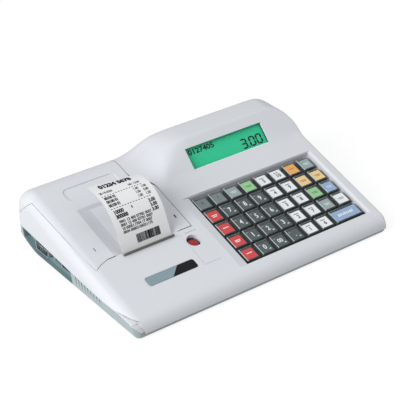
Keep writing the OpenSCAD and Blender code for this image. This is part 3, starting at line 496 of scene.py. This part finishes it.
# %% [markdown]
# ## Relegendable keys
# Each key is a dark base, a printed card on top of it, and a clear cover that snaps over both. The cover's
# rounded edges catch the light as bright lines round every key, which is what makes this keyboard look the
# way it does, so base and cover are separate pieces. Those lines are partly painted: the cover's rear bevels,
# and brighter still its left bevels that face the side lamp, get whiter and less clear finishes as painted
# highlights. Both are boxes at first. The base is drawn in at its top, the card's place on it is inset and
# raised, and it is hollow underneath with a stem in the middle. The cover is bevelled, opened underneath and
# given its wall by Solidify.

# %% Card colours, clear plastic and painted highlights
def shade(r, g, b):
    """A colour as it looks on screen, from 0 to 255, as the linear colour that a shader takes."""
    return tuple(c / 255 / 12.92 if c < 11 else ((c / 255 + 0.055) / 1.055) ** 2.4 for c in (r, g, b))

card_shades = {
    "slate": (112, 128, 130), "grey": (150, 165, 165), "green": (145, 205, 140), "white": (236, 239, 240),
    "orange": (238, 168, 78), "red": (214, 44, 44), "dark": (66, 78, 80), "pale": (240, 204, 138),
    "blue": (146, 174, 208)}
cards = {k: finish("card_" + k, shade(*v), 0.5, grain=2500, depth=0.005, tone=0.08)
         for k, v in card_shades.items()}
ink_white = finish("ink_white", shade(235, 240, 240), 0.5, depth=0.002)
ink_dark = finish("ink_dark", shade(60, 66, 70), 0.5, depth=0.002)
ink_red = finish("ink_red", shade(170, 60, 60), 0.5, depth=0.002)
clear_cover = finish("clear_cover", (0.82, 0.86, 0.87), 0.12, depth=0.003, tone=0.02, change=0.06, Alpha=0.02)
# The cover's rear bevels: clear plastic made whiter and less clear, a painted highlight.
rear_bevel_highlight = finish("rear_bevel_highlight", (0.90, 0.94, 0.95), 0.10, depth=0.003, tone=0.02, change=0.05, Alpha=0.35)
# Its left bevels, towards the side lamp: whiter still, a stronger painted highlight.
left_bevel_highlight = finish("left_bevel_highlight", (0.95, 0.97, 0.98), 0.10, depth=0.003, tone=0.02, change=0.05, Alpha=0.65)
print("cards:", ", ".join(cards))

# %% The key's base with its card
pitch, gap = 19.05, 1.5
cap = pitch - gap

def is_top(face):
    return face.normal.z > 0.9

def is_bottom(face):
    return face.normal.z < -0.9

def key_base(name, w):
    base = give(block(name, (w - 2.2, cap - 2.2, 5.5), (0, 0, -4.25)), key_slate, cards["dark"])
    edit(base)
    pick(base, is_top)
    bpy.ops.transform.resize(value=((w - 3.2) / (w - 2.2), (cap - 3.2) / (cap - 2.2), 1))
    inset(0.95)
    push(0.25)
    coat(base, 1)
    pick(base, is_bottom)
    inset(1.2)
    push(4.95)
    leave()
    stem = give(block(name + "_stem", (6, 6, 6.9), (0, 0, -5.55)), key_slate)
    return join(name, [base, stem])

single_base, wide_base = key_base("single_base", cap), key_base("wide_base", cap + pitch)
print("faces of a key's base:", len(single_base.data.polygons))

# %% The clear cover
def key_cover(name, w):
    cover = give(block(name, (w, cap, 5.2), (0, 0, -2.6)), clear_cover, rear_bevel_highlight, left_bevel_highlight)
    edit(cover)
    pick(cover, is_top)
    bpy.ops.transform.resize(value=((w - 1.2) / w, (cap - 1.2) / cap, 1))
    pick(cover, lambda e: max(v.co.z for v in e.verts) > -1 * MM, "edges")
    bpy.ops.mesh.bevel(offset=0.7 * MM, segments=2, affect="EDGES")
    # The rear-facing bevels take the painted highlight.
    pick(cover, lambda f: 0.15 < f.normal.z < 0.97 and f.normal.y > 0.15)
    coat(cover, 1)
    # The left-facing bevels, towards the side lamp, take the stronger painted highlight.
    pick(cover, lambda f: 0.5 < f.normal.z < 0.97 and f.normal.x < -0.15)
    coat(cover, 2)
    pick(cover, is_bottom)
    bpy.ops.mesh.delete(type="FACE")
    leave()
    return soften(apply(cover, "SOLIDIFY", thickness=0.8 * MM, offset=-1), 35)

single_cover, wide_cover = key_cover("single_cover", cap), key_cover("wide_cover", cap + pitch)
print("faces of a cover:", len(single_cover.data.polygons))

# %% [markdown]
# ## Which card goes where
# The keyboard is written down as a small table, one letter a key from the rear row to the front, with its
# marks beside it. Number keys carry a large digit with two small marks, department keys a number under a
# short line, and function keys plain lines. A colon in the table stands for two zeros. No key carries a word.

# %% Cards and marks of the keys
letter = {"s": "slate", "y": "grey", "g": "green", "w": "white", "o": "orange", "r": "red", "d": "dark",
          "p": "pale", "b": "blue"}
card_rows = ["ssygwwoy", "rdddwwpp", "rdddwwgb", "rdddwwyw", "rdddwwb"]
number_rows = ["", " 789", " 456", " 123", " 0:."]
card_top = -1.2

def number_marks(tag, text):
    size = 8.2 if len(text) == 1 else 7
    return [digits(f"m{tag}a", text, size, (0.3, 0.1), card_top, ink_white, 0.12, 0.85),
            bar(f"m{tag}b", (2.2, 0.9), (4.1, -3.6), card_top, ink_white),
            bar(f"m{tag}c", (2.4, 0.7), (-4.2, 4.2), card_top, cards["grey"])]

def department_marks(tag, number):
    return [digits(f"m{tag}a", str(number), 6.4, (0.2, -1.2), card_top, ink_dark, 0.2, 0.95),
            bar(f"m{tag}b", (5.4, 0.8), (-0.3, 3.0), card_top, ink_dark)]

def line_marks(tag, ink, lines):
    """Each line is given by its middle, its width and its height."""
    return [bar(f"m{tag}_{j}", (w, h), (x, y), card_top, ink) for j, (x, y, w, h) in enumerate(lines)]

print("letters of the keyboard's table:", "".join(letter))

# %% What each key carries
def marks_of(row, column):
    tag, kind = f"r{row}c{column}", letter[card_rows[row - 1][column - 1]]
    if kind == "dark":
        text = number_rows[row - 1][column - 1]
        return number_marks(tag, "00" if text == ":" else text)
    if column in (5, 6) and kind == "white":
        return department_marks(tag, (6 - row) + (5 if column == 6 else 0))
    if row == 5 and column == 7:
        words = [(-9 + 2.5 * k, 0.2 * (k % 2), 1.9 - 0.3 * (k % 3), 3.0) for k in range(8)]
        return line_marks(tag, ink_white, words)
    if kind == "red":
        lines = [(0.4, 0.9, 6.6, 0.9), (0.1, -0.9, 5.2, 0.9)]
        return line_marks(tag, cards["white"], lines[:1 + (row + 1) % 2])
    if kind == "slate":
        return [digits(f"m{tag}a", "01"[column - 1], 5.2, (0, 0.8), card_top, ink_dark, 0.16, 1.0),
                bar(f"m{tag}b", (4.4, 0.7), (0, -2.9), card_top, ink_red)]
    ink = ink_white if kind in ("blue", "grey") else ink_dark if kind == "white" else cards["dark"]
    lines = [(0, 0.7, 6.8, 0.7), (0.4, -1.0, 5.4, 0.6)]
    return line_marks(tag, ink, lines[:1 if kind == "orange" else 2])

print("the key in row 2, column 2 shows:", number_rows[1][1])

# %% Making the keys
made_keys = 0
for row, letters in enumerate(card_rows, 1):
    for column, kind in enumerate(letters, 1):
        wide = row == 5 and column == 7
        x = (column - (0 if wide else 0.5)) * pitch
        at = key_plane @ Matrix.Translation((x * MM, -(row - 0.5) * pitch * MM, 0))
        name = f"key_r{row}c{column}"
        base = copy_of(wide_base if wide else single_base, name + "_base")
        base.data.materials[1] = cards[letter[kind]]
        base = join(name + "_base", [base, *marks_of(row, column)])
        cover = copy_of(wide_cover if wide else single_cover, name + "_cover")
        place(base, at, name + "_body")
        place(cover, at, name + "_body")
        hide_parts(name)
        made_keys += 1
for pattern in (single_base, wide_base, single_cover, wide_cover):
    bpy.data.objects.remove(pattern)
print("keys:", made_keys)

# %% [markdown]
# ## The two displays
# Behind each window lies a reflective liquid crystal panel: green glass in a thin metal frame on its board.
# The glass is a box whose face is inset and sunk a little, so that the frame stands round it. Its digits are
# built from bars with pointed ends, as the real segments are: each segment is a six-sided disc drawn long,
# and each digit has the segments that it needs. Two pale bars are painted light: a painted highlight along
# the window's cut edges.

# %% Display materials and the panel on its board
lcd_green = finish("lcd_green", shade(42, 200, 148), 0.6, grain=3000, depth=0.001, tone=0.04,
                   Specular_IOR_Level=0.2)
lcd_ink = finish("lcd_ink", shade(8, 30, 24), 0.6, depth=0.001, Specular_IOR_Level=0.2)
window_clear = finish("window_clear", (0.8, 0.9, 0.88), 0.08, depth=0.001, tone=0.02, change=0.03, Alpha=0.01)
# Pale and bright: the painted highlight of the window's cut edges.
window_edge_highlight = finish("window_edge_highlight", shade(215, 255, 240), 0.25, depth=0.001)

def display_unit(name, glass, board):
    panel = give(block(name, (*glass, 2.2), (0, 0, -5.4)), zinc_steel, lcd_green)
    edit(panel)
    pick(panel, is_top)
    inset(0.8)
    push(-0.05)
    coat(panel, 1)
    leave()
    card = give(block(name + "_board", (*board, 1.6), (0, 0, -7.3)), board_green)
    chips = [give(block(f"chip{x}", (8, 8, 1.6), (x * board[0], 0, -8.9)), frame_black)
             for x in (-0.3, 0, 0.3)]
    return join(name, [panel, bevel(card, 0.3), *chips])

print("display finishes:", lcd_green.name, lcd_ink.name, window_clear.name, window_edge_highlight.name)

# %% Segment digits
segment_width, digit_stretch = 2.0, 1.2
lit = {"0": "abcdef", "1": "bc", "2": "abged", "3": "abgcd", "4": "fgbc", "5": "afgcd", "6": "afgedc",
       "7": "abc", "8": "abcdefg", "9": "abcdfg"}
spots = {"a": (0, 2, 0), "g": (0, 0, 0), "d": (0, -2, 0), "f": (-1, 1, 1), "b": (1, 1, 1),
         "e": (-1, -1, 1), "c": (1, -1, 1)}

def segment(name, length, width, x, y, upright):
    """One bar with pointed ends, flat at the origin and then turned and moved to x and y."""
    clear()
    bpy.ops.mesh.primitive_circle_add(vertices=6, radius=width / 2 * MM, fill_type="NGON")
    obj = named(name)
    edit(obj)
    for side in (-1, 1):
        pick(obj, lambda e: all(v.co.x * side > 0.1 * width * MM for v in e.verts), "edges")
        bpy.ops.transform.translate(value=(side * (length - width) / 2 * MM, 0, 0))
    leave()
    turn = Matrix.Rotation(math.radians(90 * upright), 4, "Z")
    obj.data.transform(Matrix.Translation((x * MM, y * MM, 0)) @ turn)
    return obj

def segment_number(name, text, height, at, z, mat):
    parts, x, reach = [], 0, height / 4
    for i, sign in enumerate(text):
        if sign == ".":
            parts.append(segment(f"{name}{i}", 1.7, 1.6, x - reach * 1.25, -2 * reach, 0))
            x += reach * 0.6
            continue
        for part in lit[sign]:
            dx, dy, upright = spots[part]
            parts.append(segment(f"{name}{i}{part}", reach * 2, segment_width, x + dx * reach, dy * reach,
                                 upright))
        x += reach * 3.1
    obj = join(name, parts)
    obj.data.transform(Matrix.Diagonal((digit_stretch, 1, 1, 1)))
    obj.data.transform(Matrix.Translation((at[0] * MM, at[1] * MM, z * MM)))
    return dress(obj, mat)

print("segment digits:", "".join(lit))

# %% Both displays
face, edge = -4.28, -0.9

def dress_display(name, at, glass, board, numbers, node, window):
    panel = place(display_unit(name, glass, board), at, "base")
    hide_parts(node)
    place(join(name + "_digits", numbers), at, "base")
    dress(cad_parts[window], window_clear)

dress_display(
    "operator_display", display_plane, (100, 26), (110, 38),
    [segment_number("total", "3.00", 9.6, (21.7, -3.3), face, lcd_ink),
     digits("small_row", "0127405", 7.8, (-45.0, 7.0), face, lcd_ink, 0.24, 1.2, "LEFT"),
     # Two pale bars: painted highlights along the window's lower and left cut edges.
     bar("low_edge", (98, 0.7), (0, -11.35), edge, window_edge_highlight),
     bar("left_edge", (0.7, 22.7), (-48.65, 0.35), edge, window_edge_highlight)],
    "display_module", "display_window")
dress_display(
    "customer_display", customer_plane, (86, 16.5), (102, 20),
    [segment_number("shown", "3.00", 8.4, (9, 0), face, lcd_ink)], "customer_module", "customer_window")
print("displays done")

# %% [markdown]
# ## Button and badge
# The release button is a turned plunger with a slightly hollow top, so its middle catches the light. Under it
# sits a collar as wide as the button's flange; it is black as painted shade, so that the gap round the
# plunger reads dark. The badge is a thin metal plate in a pocket of the deck, bare here, in two colours that
# meet on a slant.

# %% The red button
button = give(disc("release_plunger", 11.8, -8, -4.6), button_red)
edit(button)
pick(button, is_top)
for width, depth in ((1.4, 0), (1.4, -0.35), (1.6, -0.2)):
    inset(width, depth)
leave()
bevel(button, 0.7, 3, 50)
# A real collar under the plunger; its black is painted shade for the gap round the plunger.
gap_shade_collar = bevel(give(disc("gap_shade_collar", 16.4, -8, -6.8), frame_black), 0.3)
stem = give(disc("stem", 6, -15, -7), button_red)
button = soften(join("release_plunger", [button, gap_shade_collar, stem]), 35)
place(button, on_deck(-41.1, -38.4), "button")
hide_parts("release_button")
print("button:", len(button.data.polygons), "faces")

# %% The bare two-colour badge
badge_blue = finish("badge_blue", shade(136, 158, 165), 0.3, grain=3000, depth=0.003, Metallic=0.3)
badge_black = finish("badge_black", shade(5, 8, 11), 0.4, grain=3000, depth=0.003, Specular_IOR_Level=0.25)
badge = give(block("badge", (55.2, 10.4, 0.7), (0, 0, -0.16)), badge_blue, badge_black)
slant_x, slant_y, slant_from = 0.68, -0.73, 4 * MM
edit(badge)
pick(badge, lambda e: abs(e.verts[0].co.z - e.verts[1].co.z) > 0.5 * MM, "edges")
bpy.ops.mesh.bevel(offset=2.2 * MM, segments=5, affect="EDGES")
bpy.ops.mesh.select_all(action="SELECT")
bpy.ops.mesh.bisect(plane_co=(slant_from, 0, 0), plane_no=(slant_x, slant_y, 0))
pick(badge, lambda f: (middle(f).x - slant_from) * slant_x + middle(f).y * slant_y > 0)
coat(badge, 1)
leave()
bevel(badge, 0.15, 1, 60)
place(badge, on_deck(slot_x, -61.8), "base")
print("badge:", len(badge.data.polygons), "faces")

# %% [markdown]
# ## The skirt at the front left corner
# At this corner the upper case is rounded two ways at once and draws back from the base, whose wall stands
# straight. The moulding closes the difference with a small skirt: it starts upright on the base's wall and
# bends over until it meets the case's skin. A grid is laid along the corner for it. Each of its cross rows
# is one Bezier curve. Its end is found by shooting a level ray at the skin, and where that passes the low
# edge of the skin, the nearest point of the skin serves.

# %% Where the skirt starts and ends
bend_y, bend_height, front_height = -90, 15.6, 2.4
side_x, corner_y, corner_radius, front_y = -155.2, -89, 13, -101.2
hair = 0.05

def parting(y):
    """Height of the parting line: it falls to the table in front."""
    if y > bend_y:
        return bend_height + (y - bend_y) * 0.0745
    return front_height + (bend_height - front_height) * math.sqrt(max(0, 1 - ((y - bend_y) / 12) ** 2))

def base_outline(t):
    """The top of the base's wall, from the left side at t = 0 round the corner to the front at t = 1."""
    x, y = side_x, -72 - 17 * min(2 * t, 1)
    if t > 0.5:
        turn = math.radians(82) * (2 * t - 1)
        x = side_x + corner_radius * (1 - math.cos(turn))
        y = max(corner_y - corner_radius * math.sin(turn), front_y)
    leaning_wall = -152 - (parting(y) - 2) * 3.2 / 28
    return Vector((max(x, leaning_wall), y, parting(y) + hair))

def on_skin(start, z):
    """The point of the case's skin level with z beside a start, a hair in front of it."""
    way = Vector((1, 0, 0))
    hit, at = upper.ray_cast(Vector((start.x - 5, start.y, z)) * MM, way, distance=16 * MM)[:2]
    if not hit:
        at = upper.closest_point_on_mesh(Vector((start.x + 1, start.y, z)) * MM)[1]
    return at / MM - way * hair

def skirt_point(t, v):
    """A point of the skirt: t runs along the corner, v from the base's wall up to the skin."""
    foot = base_outline(t)
    head, above = on_skin(foot, foot.z + 0.9), on_skin(foot, foot.z + 1.2)
    rise = (above - head).normalized() * 0.4
    up = Vector((0, 0, 0.7))
    return ((1 - v) ** 3 * foot + 3 * v * (1 - v) ** 2 * (foot + up)
            + 3 * v * v * (1 - v) * (head - rise) + v ** 3 * head)

bpy.context.view_layer.update()
print("parting line at the front in mm:", round(parting(front_y), 2))

# %% The corner skirt
def grid(name, columns, rows):
    clear()
    bpy.ops.mesh.primitive_grid_add(x_subdivisions=columns, y_subdivisions=rows, size=1)
    return named(name)

def face_outwards(obj):
    edit(obj)
    bpy.ops.mesh.select_all(action="SELECT")
    bpy.ops.mesh.normals_make_consistent(inside=False)
    leave()

skirt = grid("corner_skirt", 10, 48)
for v in skirt.data.vertices:
    v.co = skirt_point(v.co.y + 0.5, v.co.x + 0.5) * MM
face_outwards(skirt)
halfway = skirt.data.polygons[len(skirt.data.polygons) // 2]
apply(skirt, "SOLIDIFY", thickness=0.8 * MM, offset=-1 if halfway.normal.x < 0 else 1)
face_outwards(skirt)
soften(give(skirt, case_white), 40)
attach(skirt, "base")
print("skirt:", len(skirt.data.polygons), "faces")

# %% [markdown]
# ## The tear bar
# The ticket is torn off against a thin steel strip with a saw edge, which stands on a ledge of the case along
# the front of the slot. A flat strip gets its thickness first. Then the long edges at its top are subdivided,
# and every other corner of them is pushed up to a tooth.

# %% A strip with teeth
bar_steel = finish("bar_steel", (0.15, 0.165, 0.14), 0.5, grain=900, depth=0.01, tone=0.4)
bar_length, half_teeth = 57.2, 76
tear_bar = give(block("tear_bar", (bar_length, 0.8, 4.2), (0, 0, 1.3)), bar_steel)
edit(tear_bar)
pick(tear_bar, lambda e: all(v.co.z > 2 * MM for v in e.verts)
     and abs(e.verts[0].co.x - e.verts[1].co.x) > MM, "edges")
bpy.ops.mesh.subdivide(number_cuts=half_teeth - 1)
leave()
for v in tear_bar.data.vertices:
    if v.co.z > 2 * MM and round((v.co.x / MM + bar_length / 2) / (bar_length / half_teeth)) % 2:
        v.co.z += 0.5 * MM
place(tear_bar, on_deck(slot_x, -26.2), "base")
print("tear bar:", len(tear_bar.data.polygons), "faces")

# %% [markdown]
# ## The ticket
# Thermal paper comes out of the slot curled the way it was wound, so the ticket leans back, bends over and
# droops. A cloth simulation could do that, but the curl of paper is simpler than cloth: it bends in one
# direction only. So a flat grid is bent along a path whose heading falls smoothly from steep to slightly
# downwards. The path is worked out for both edges, the right one curling further over, and every row of the
# grid is drawn between them.

# %% The path of the paper
step, steps = 3.0, 32
slot_heading, leaned_heading = 104, 65

def ramp(t):
    t = min(max(t, 0), 1)
    return t * t * (3 - 2 * t)

def heading(s, start, last):
    """Degrees above level at s millimetres: the lean comes at the slot, the curl from start on."""
    return (slot_heading + (leaned_heading - slot_heading) * ramp((s - 5) / 6)
            + (last - leaned_heading) * ramp((s - start) / 85))

def path_of(start, last):
    lean = math.radians(14)
    points = [Vector((-16 - 6.2 * math.cos(lean), 28 - 6.2 * math.sin(lean)))]
    for i in range(1, steps + 1):
        h = math.radians(heading((i - 0.5) * step, start, last))
        points.append(points[-1] + step * Vector((math.cos(h), math.sin(h))))
    return points

edge_curls = [(17.5, -7), (22.5, -29)]
paths = [path_of(*curl) for curl in edge_curls]
length, paper_width, slot_play = 90.5, 57, 0.3
print("path points:", [len(path) for path in paths])

# %% A point on the bent paper
def on_paper(u, s, lift=0.0):
    """The point u across the paper, from 0 to 1, and s millimetres along it, raised by lift."""
    k = min(max(s / step, 0), steps - 1e-6)
    i, t = int(k), k - int(k)
    ends = []
    for path, curl in zip(paths, edge_curls):
        before, after = path[max(i - 1, 0)], path[min(i + 2, steps)]
        a, b = path[i], path[i + 1]
        point = a + (b - a) * t + (t * (1 - t) / 2) * ((a - before) * (1 - t) - (after - b) * t
                                                      - (b - a) * (1 - 2 * t))
        h = math.radians(heading(s, *curl) - 90)
        ends.append(point - lift * Vector((math.cos(h), math.sin(h))))
    half = paper_width / 2 - slot_play
    y, z = ends[0].lerp(ends[1], u)
    return Vector((slot_x + (2 * u - 1) * half, y, z)) * MM

for u in (0, 1):
    print("free corner in mm:", [round(v / MM, 1) for v in on_paper(u, length)])

# %% The paper
ticket = grid("ticket", 24, 96)
for v in ticket.data.vertices:
    u, s = v.co.x + 0.5, (v.co.y + 0.5) * length
    torn = 0.5 * (s > length - 0.5) * (round(u * 24) % 2)
    v.co = on_paper(u, s - torn)
apply(ticket, "SOLIDIFY", thickness=0.16 * MM, offset=0)
soften(give(ticket, paper_white), 40)
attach(ticket, "lid")
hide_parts("receipt_strip")
print("ticket:", len(ticket.data.polygons), "faces")

# %% [markdown]
# ## What the head has printed
# The rows are digits, dashes and bars, with no words. They are laid out flat as on the paper roll, joined to
# one piece, cut finely along the paper and then bent with the same function as the paper itself, raised so
# that they lie a few hundredths of a millimetre above its face. So they follow every curl.

# %% The printed rows
thermal_ink = finish("thermal_ink", shade(18, 20, 23), 0.7, grain=2500, depth=0.002, tone=0.3)
rows = []

def row_of(text, x, s, size, bold, stretch):
    rows.append(digits(f"row{len(rows)}", text, size, (x, s), 0, thermal_ink, bold, stretch, "LEFT"))

def dots_at(s, start):
    for k in range(15):
        rows.append(bar(f"dot{len(rows)}", (1.5, 0.8), (start + 3.1 * k, s), 0, thermal_ink))

row_of("01234 5678", 9.0, 83.2, 8.6, 0.62, 0.88)
row_of("20-10-2026", 3.4, 73.8, 3.9, 0.14, 0.8)
row_of("001 12:30", 36.2, 73.4, 4.0, 0.14, 0.78)
dots_at(69.5, 4)
for k, price in enumerate(["1.00", "0.80", "1.20"]):
    row_of("00100 01", 4.2, 66.2 - 4.4 * k, 4.2, 0.28, 0.8)
    row_of("1.00", 37.0, 66.0 - 4.4 * k, 4.0, 0.14, 0.8)
    row_of(price, 46.0, 66.0 - 4.4 * k, 4.0, 0.14, 0.8)
dots_at(53.8, 5)
row_of("10000", 5.0, 49.6, 5.2, 0.3, 0.86)
row_of("300000", 5.6, 44.9, 5.1, 0.34, 0.86)
for k in range(3):
    row_of("3.00", 44.6, 49.4 - 4.5 * k, 4.8, 0.26, 0.88)
for k, text in enumerate(["0001 12 400 07705 0007", "0001 12 400 07701 0007", "10 00051.7704 17 0007",
                          "0004 00003105031175"]):
    row_of(text, 6.8 + 0.2 * k, 39.8 - 3.5 * k, 3.7, 0.15, 0.97)
for k in range(33):
    thick = 0.45 + 0.5 * random.random()
    rows.append(bar(f"line{k}", (thick, 8.4), (19.5 + 0.82 * k, 19.6), 0, thermal_ink))
rows.append(bar("mark", (1.3, 2.6), (25.6, 49.7), 0, thermal_ink))
print("rows and marks:", len(rows))

# %% Bending the print with the paper
printing = join("ticket_print", rows)
print_lift = 0.12
edit(printing)
for s in range(14, 90, 2):
    bpy.ops.mesh.select_all(action="SELECT")
    bpy.ops.mesh.bisect(plane_co=(0, s * MM, 0), plane_no=(0, 1, 0))
leave()
for v in printing.data.vertices:
    v.co = on_paper(v.co.x / MM / paper_width, v.co.y / MM, print_lift + v.co.z / MM)
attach(printing, "lid")
print("print:", len(printing.data.polygons), "faces")

# %% [markdown]
# ## Sockets in the side
# The recess in the left side holds a nine-pin serial socket, a power jack, a square data socket and a phone
# socket for the cash drawer. Each is a box whose mouth is inset and pushed in, and is then given what belongs
# inside: pins, a tongue or a row of contacts. They are modelled facing up and turned to face the left.

# %% Boxes with a mouth, pins and contacts
gilt = finish("gilt", (0.65, 0.42, 0.12), 0.3, grain=800, depth=0.005, Metallic=1.0)
socket_grey = finish("socket_grey", (0.12, 0.175, 0.185), 0.45, grain=900)
facing_left = Matrix(((0, 0, -1, -0.146), (-1, 0, 0, 0), (0, 1, 0, 0), (0, 0, 0, 1)))

def housing(name, w, h, out, wall, depth, mats, lower=1.0):
    """A box that stands out by out and has a mouth; lower is how much narrower its lower side is."""
    obj = give(block(name, (w, h, out + 13), (0, 0, (out - 13) / 2)), *mats)
    edit(obj)
    pick(obj, lambda f: f.normal.y < -0.9)
    bpy.ops.transform.resize(value=(lower, 1, 1))
    pick(obj, is_top)
    inset(wall)
    push(-depth)
    coat(obj, len(mats) - 1)
    leave()
    return bevel(obj, 0.25)

def pin(name, x, y, d, z0, z1, mat):
    obj = give(disc(name, d, z0, z1, 12), mat)
    obj.data.transform(Matrix.Translation((x * MM, y * MM, 0)))
    return obj

print("socket tools ready")

# %% The connector board and its sockets
serial = [housing("serial", 24.6, 8, 4.6, 0.7, 4.4, (zinc_steel, socket_grey), 0.86)]
serial += [pin(f"pin{k}", (k - 2) * 2.76, 1.4, 1, -1, 3.4, zinc_steel) for k in range(5)]
serial += [pin(f"pin{k + 5}", (k - 1.5) * 2.76, -1.4, 1, -1, 3.4, zinc_steel) for k in range(4)]
power = [housing("power", 8.6, 9.6, 0.3, 1.3, 0.6, (socket_grey,)),
         pin("hole", 0, 0, 5.4, -1, -0.28, zinc_steel),
         pin("dark", 0, 0, 4.6, -1, -0.26, frame_black), pin("tip", 0, 0, 1.8, -1, 0, zinc_steel)]
data = [housing("data", 11.6, 10.4, 0.3, 0.6, 7, (zinc_steel, frame_black)),
        give(block("tongue", (5.4, 3.2, 6), (0, 0, -4)), cards["white"])]
drawer = [housing("drawer", 12.6, 11.6, 0.3, 1.6, 8, (socket_grey,))]
drawer += [give(block(f"contact{k}", (0.5, 0.5, 6), ((k - 2.5) * 1.1, 3.2, -4)), gilt) for k in range(6)]
board = [give(block("card", (59.5, 1.6, 23), (-35.25, -5.2, -13.7)), board_green)]
ports = []
for parts, y, z in ((serial, 61.3, 12.8), (power, 39.5, 12.6), (data, 27, 12.2), (drawer, 12.5, 13.6),
                    (board, 0, 12.0)):
    group = join(parts[0].name, parts)
    group.data.transform(Matrix.Translation((-y * MM, z * MM, 0)))
    ports.append(group)
ports = place(join("ports", ports), facing_left, "base")
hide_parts("port_board")
print("sockets:", len(ports.data.polygons), "faces")

# %% [markdown]
# ## Floor, light and camera
# The register stands on a plain white floor, as a catalogue picture has it. A pale floor would throw so much
# light back up that the front wall loses its shading, so the floor bounces like grey paper, and only the
# camera sees it as nearly white. It still takes a share of the lamps' light, which keeps a faint shadow. A
# large soft lamp stands at the left, thirty degrees above the table: it makes the left wall almost white and
# skims over the deck. A weak one high at the right and an even pale world fill in the rest, and leave the
# front wall in shade.

# %% Floor
clear()
bpy.ops.mesh.primitive_plane_add(size=8)
floor = named("floor")
floor_white = bpy.data.materials.new("floor_white")
floor_white.use_nodes = True
nodes, wire = floor_white.node_tree.nodes, floor_white.node_tree.links.new
paper = nodes["Principled BSDF"]
paper.inputs["Base Color"].default_value = (0.3, 0.3, 0.3, 1)
paper.inputs["Roughness"].default_value = 0.9
seen = nodes.new("ShaderNodeBsdfPrincipled")
seen.inputs["Base Color"].default_value = (0.2, 0.2, 0.2, 1)
seen.inputs["Roughness"].default_value = 1
seen.inputs["Specular IOR Level"].default_value = 0
seen.inputs["Emission Color"].default_value = (1, 1, 1, 1)
seen.inputs["Emission Strength"].default_value = 0.84
rays = nodes.new("ShaderNodeLightPath")
choice = nodes.new("ShaderNodeMixShader")
share = rays.outputs["Is Camera Ray"]
for kind in ("Is Glossy Ray", "Is Transmission Ray"):
    share = calc(floor_white.node_tree, "MAXIMUM", share, rays.outputs[kind])
wire(share, choice.inputs[0])
wire(paper.outputs[0], choice.inputs[1])
wire(seen.outputs[0], choice.inputs[2])
wire(choice.outputs[0], nodes["Material Output"].inputs["Surface"])
give(floor, floor_white)
print("floor bounces", round(paper.inputs["Base Color"].default_value[0], 2), "of the light")

# %% Lamps and world
def lamp(name, at, size, watts):
    """A square area lamp that looks at the middle of the register."""
    light = bpy.data.lights.new(name, "AREA")
    light.size, light.energy = size, watts
    obj = bpy.data.objects.new(name, light)
    obj.location = at
    obj.rotation_euler = (Vector((0, 0, 0.03)) - Vector(at)).to_track_quat("-Z", "Y").to_euler()
    bpy.context.scene.collection.objects.link(obj)

lamp("side_lamp", (-3.0, -0.3, 1.75), 2.2, 114)
lamp("top_lamp", (1.6, -0.6, 2.2), 3.0, 16)
world = bpy.data.worlds.new("studio")
bpy.context.scene.world = world
world.use_nodes = True
sky = world.node_tree.nodes["Background"]
sky.inputs["Color"].default_value = (0.95, 0.97, 1, 1)
sky.inputs["Strength"].default_value = 0.46
bpy.context.scene.view_settings.view_transform = "Standard"
print("lamps:", [light.name for light in bpy.data.lights])

# %% Camera
lens = bpy.data.cameras.new("camera")
lens.sensor_width, lens.lens = 36, 121.5
camera = bpy.data.objects.new("camera", lens)
camera.location = (-0.68743, -0.90758, 0.73035)
look_down, look_right = math.radians(31.07), math.radians(36.95)
camera.rotation_euler = (math.pi / 2 - look_down, 0, -look_right)
bpy.context.scene.collection.objects.link(camera)
bpy.context.scene.camera = camera
print("camera at", [round(v, 3) for v in camera.location])
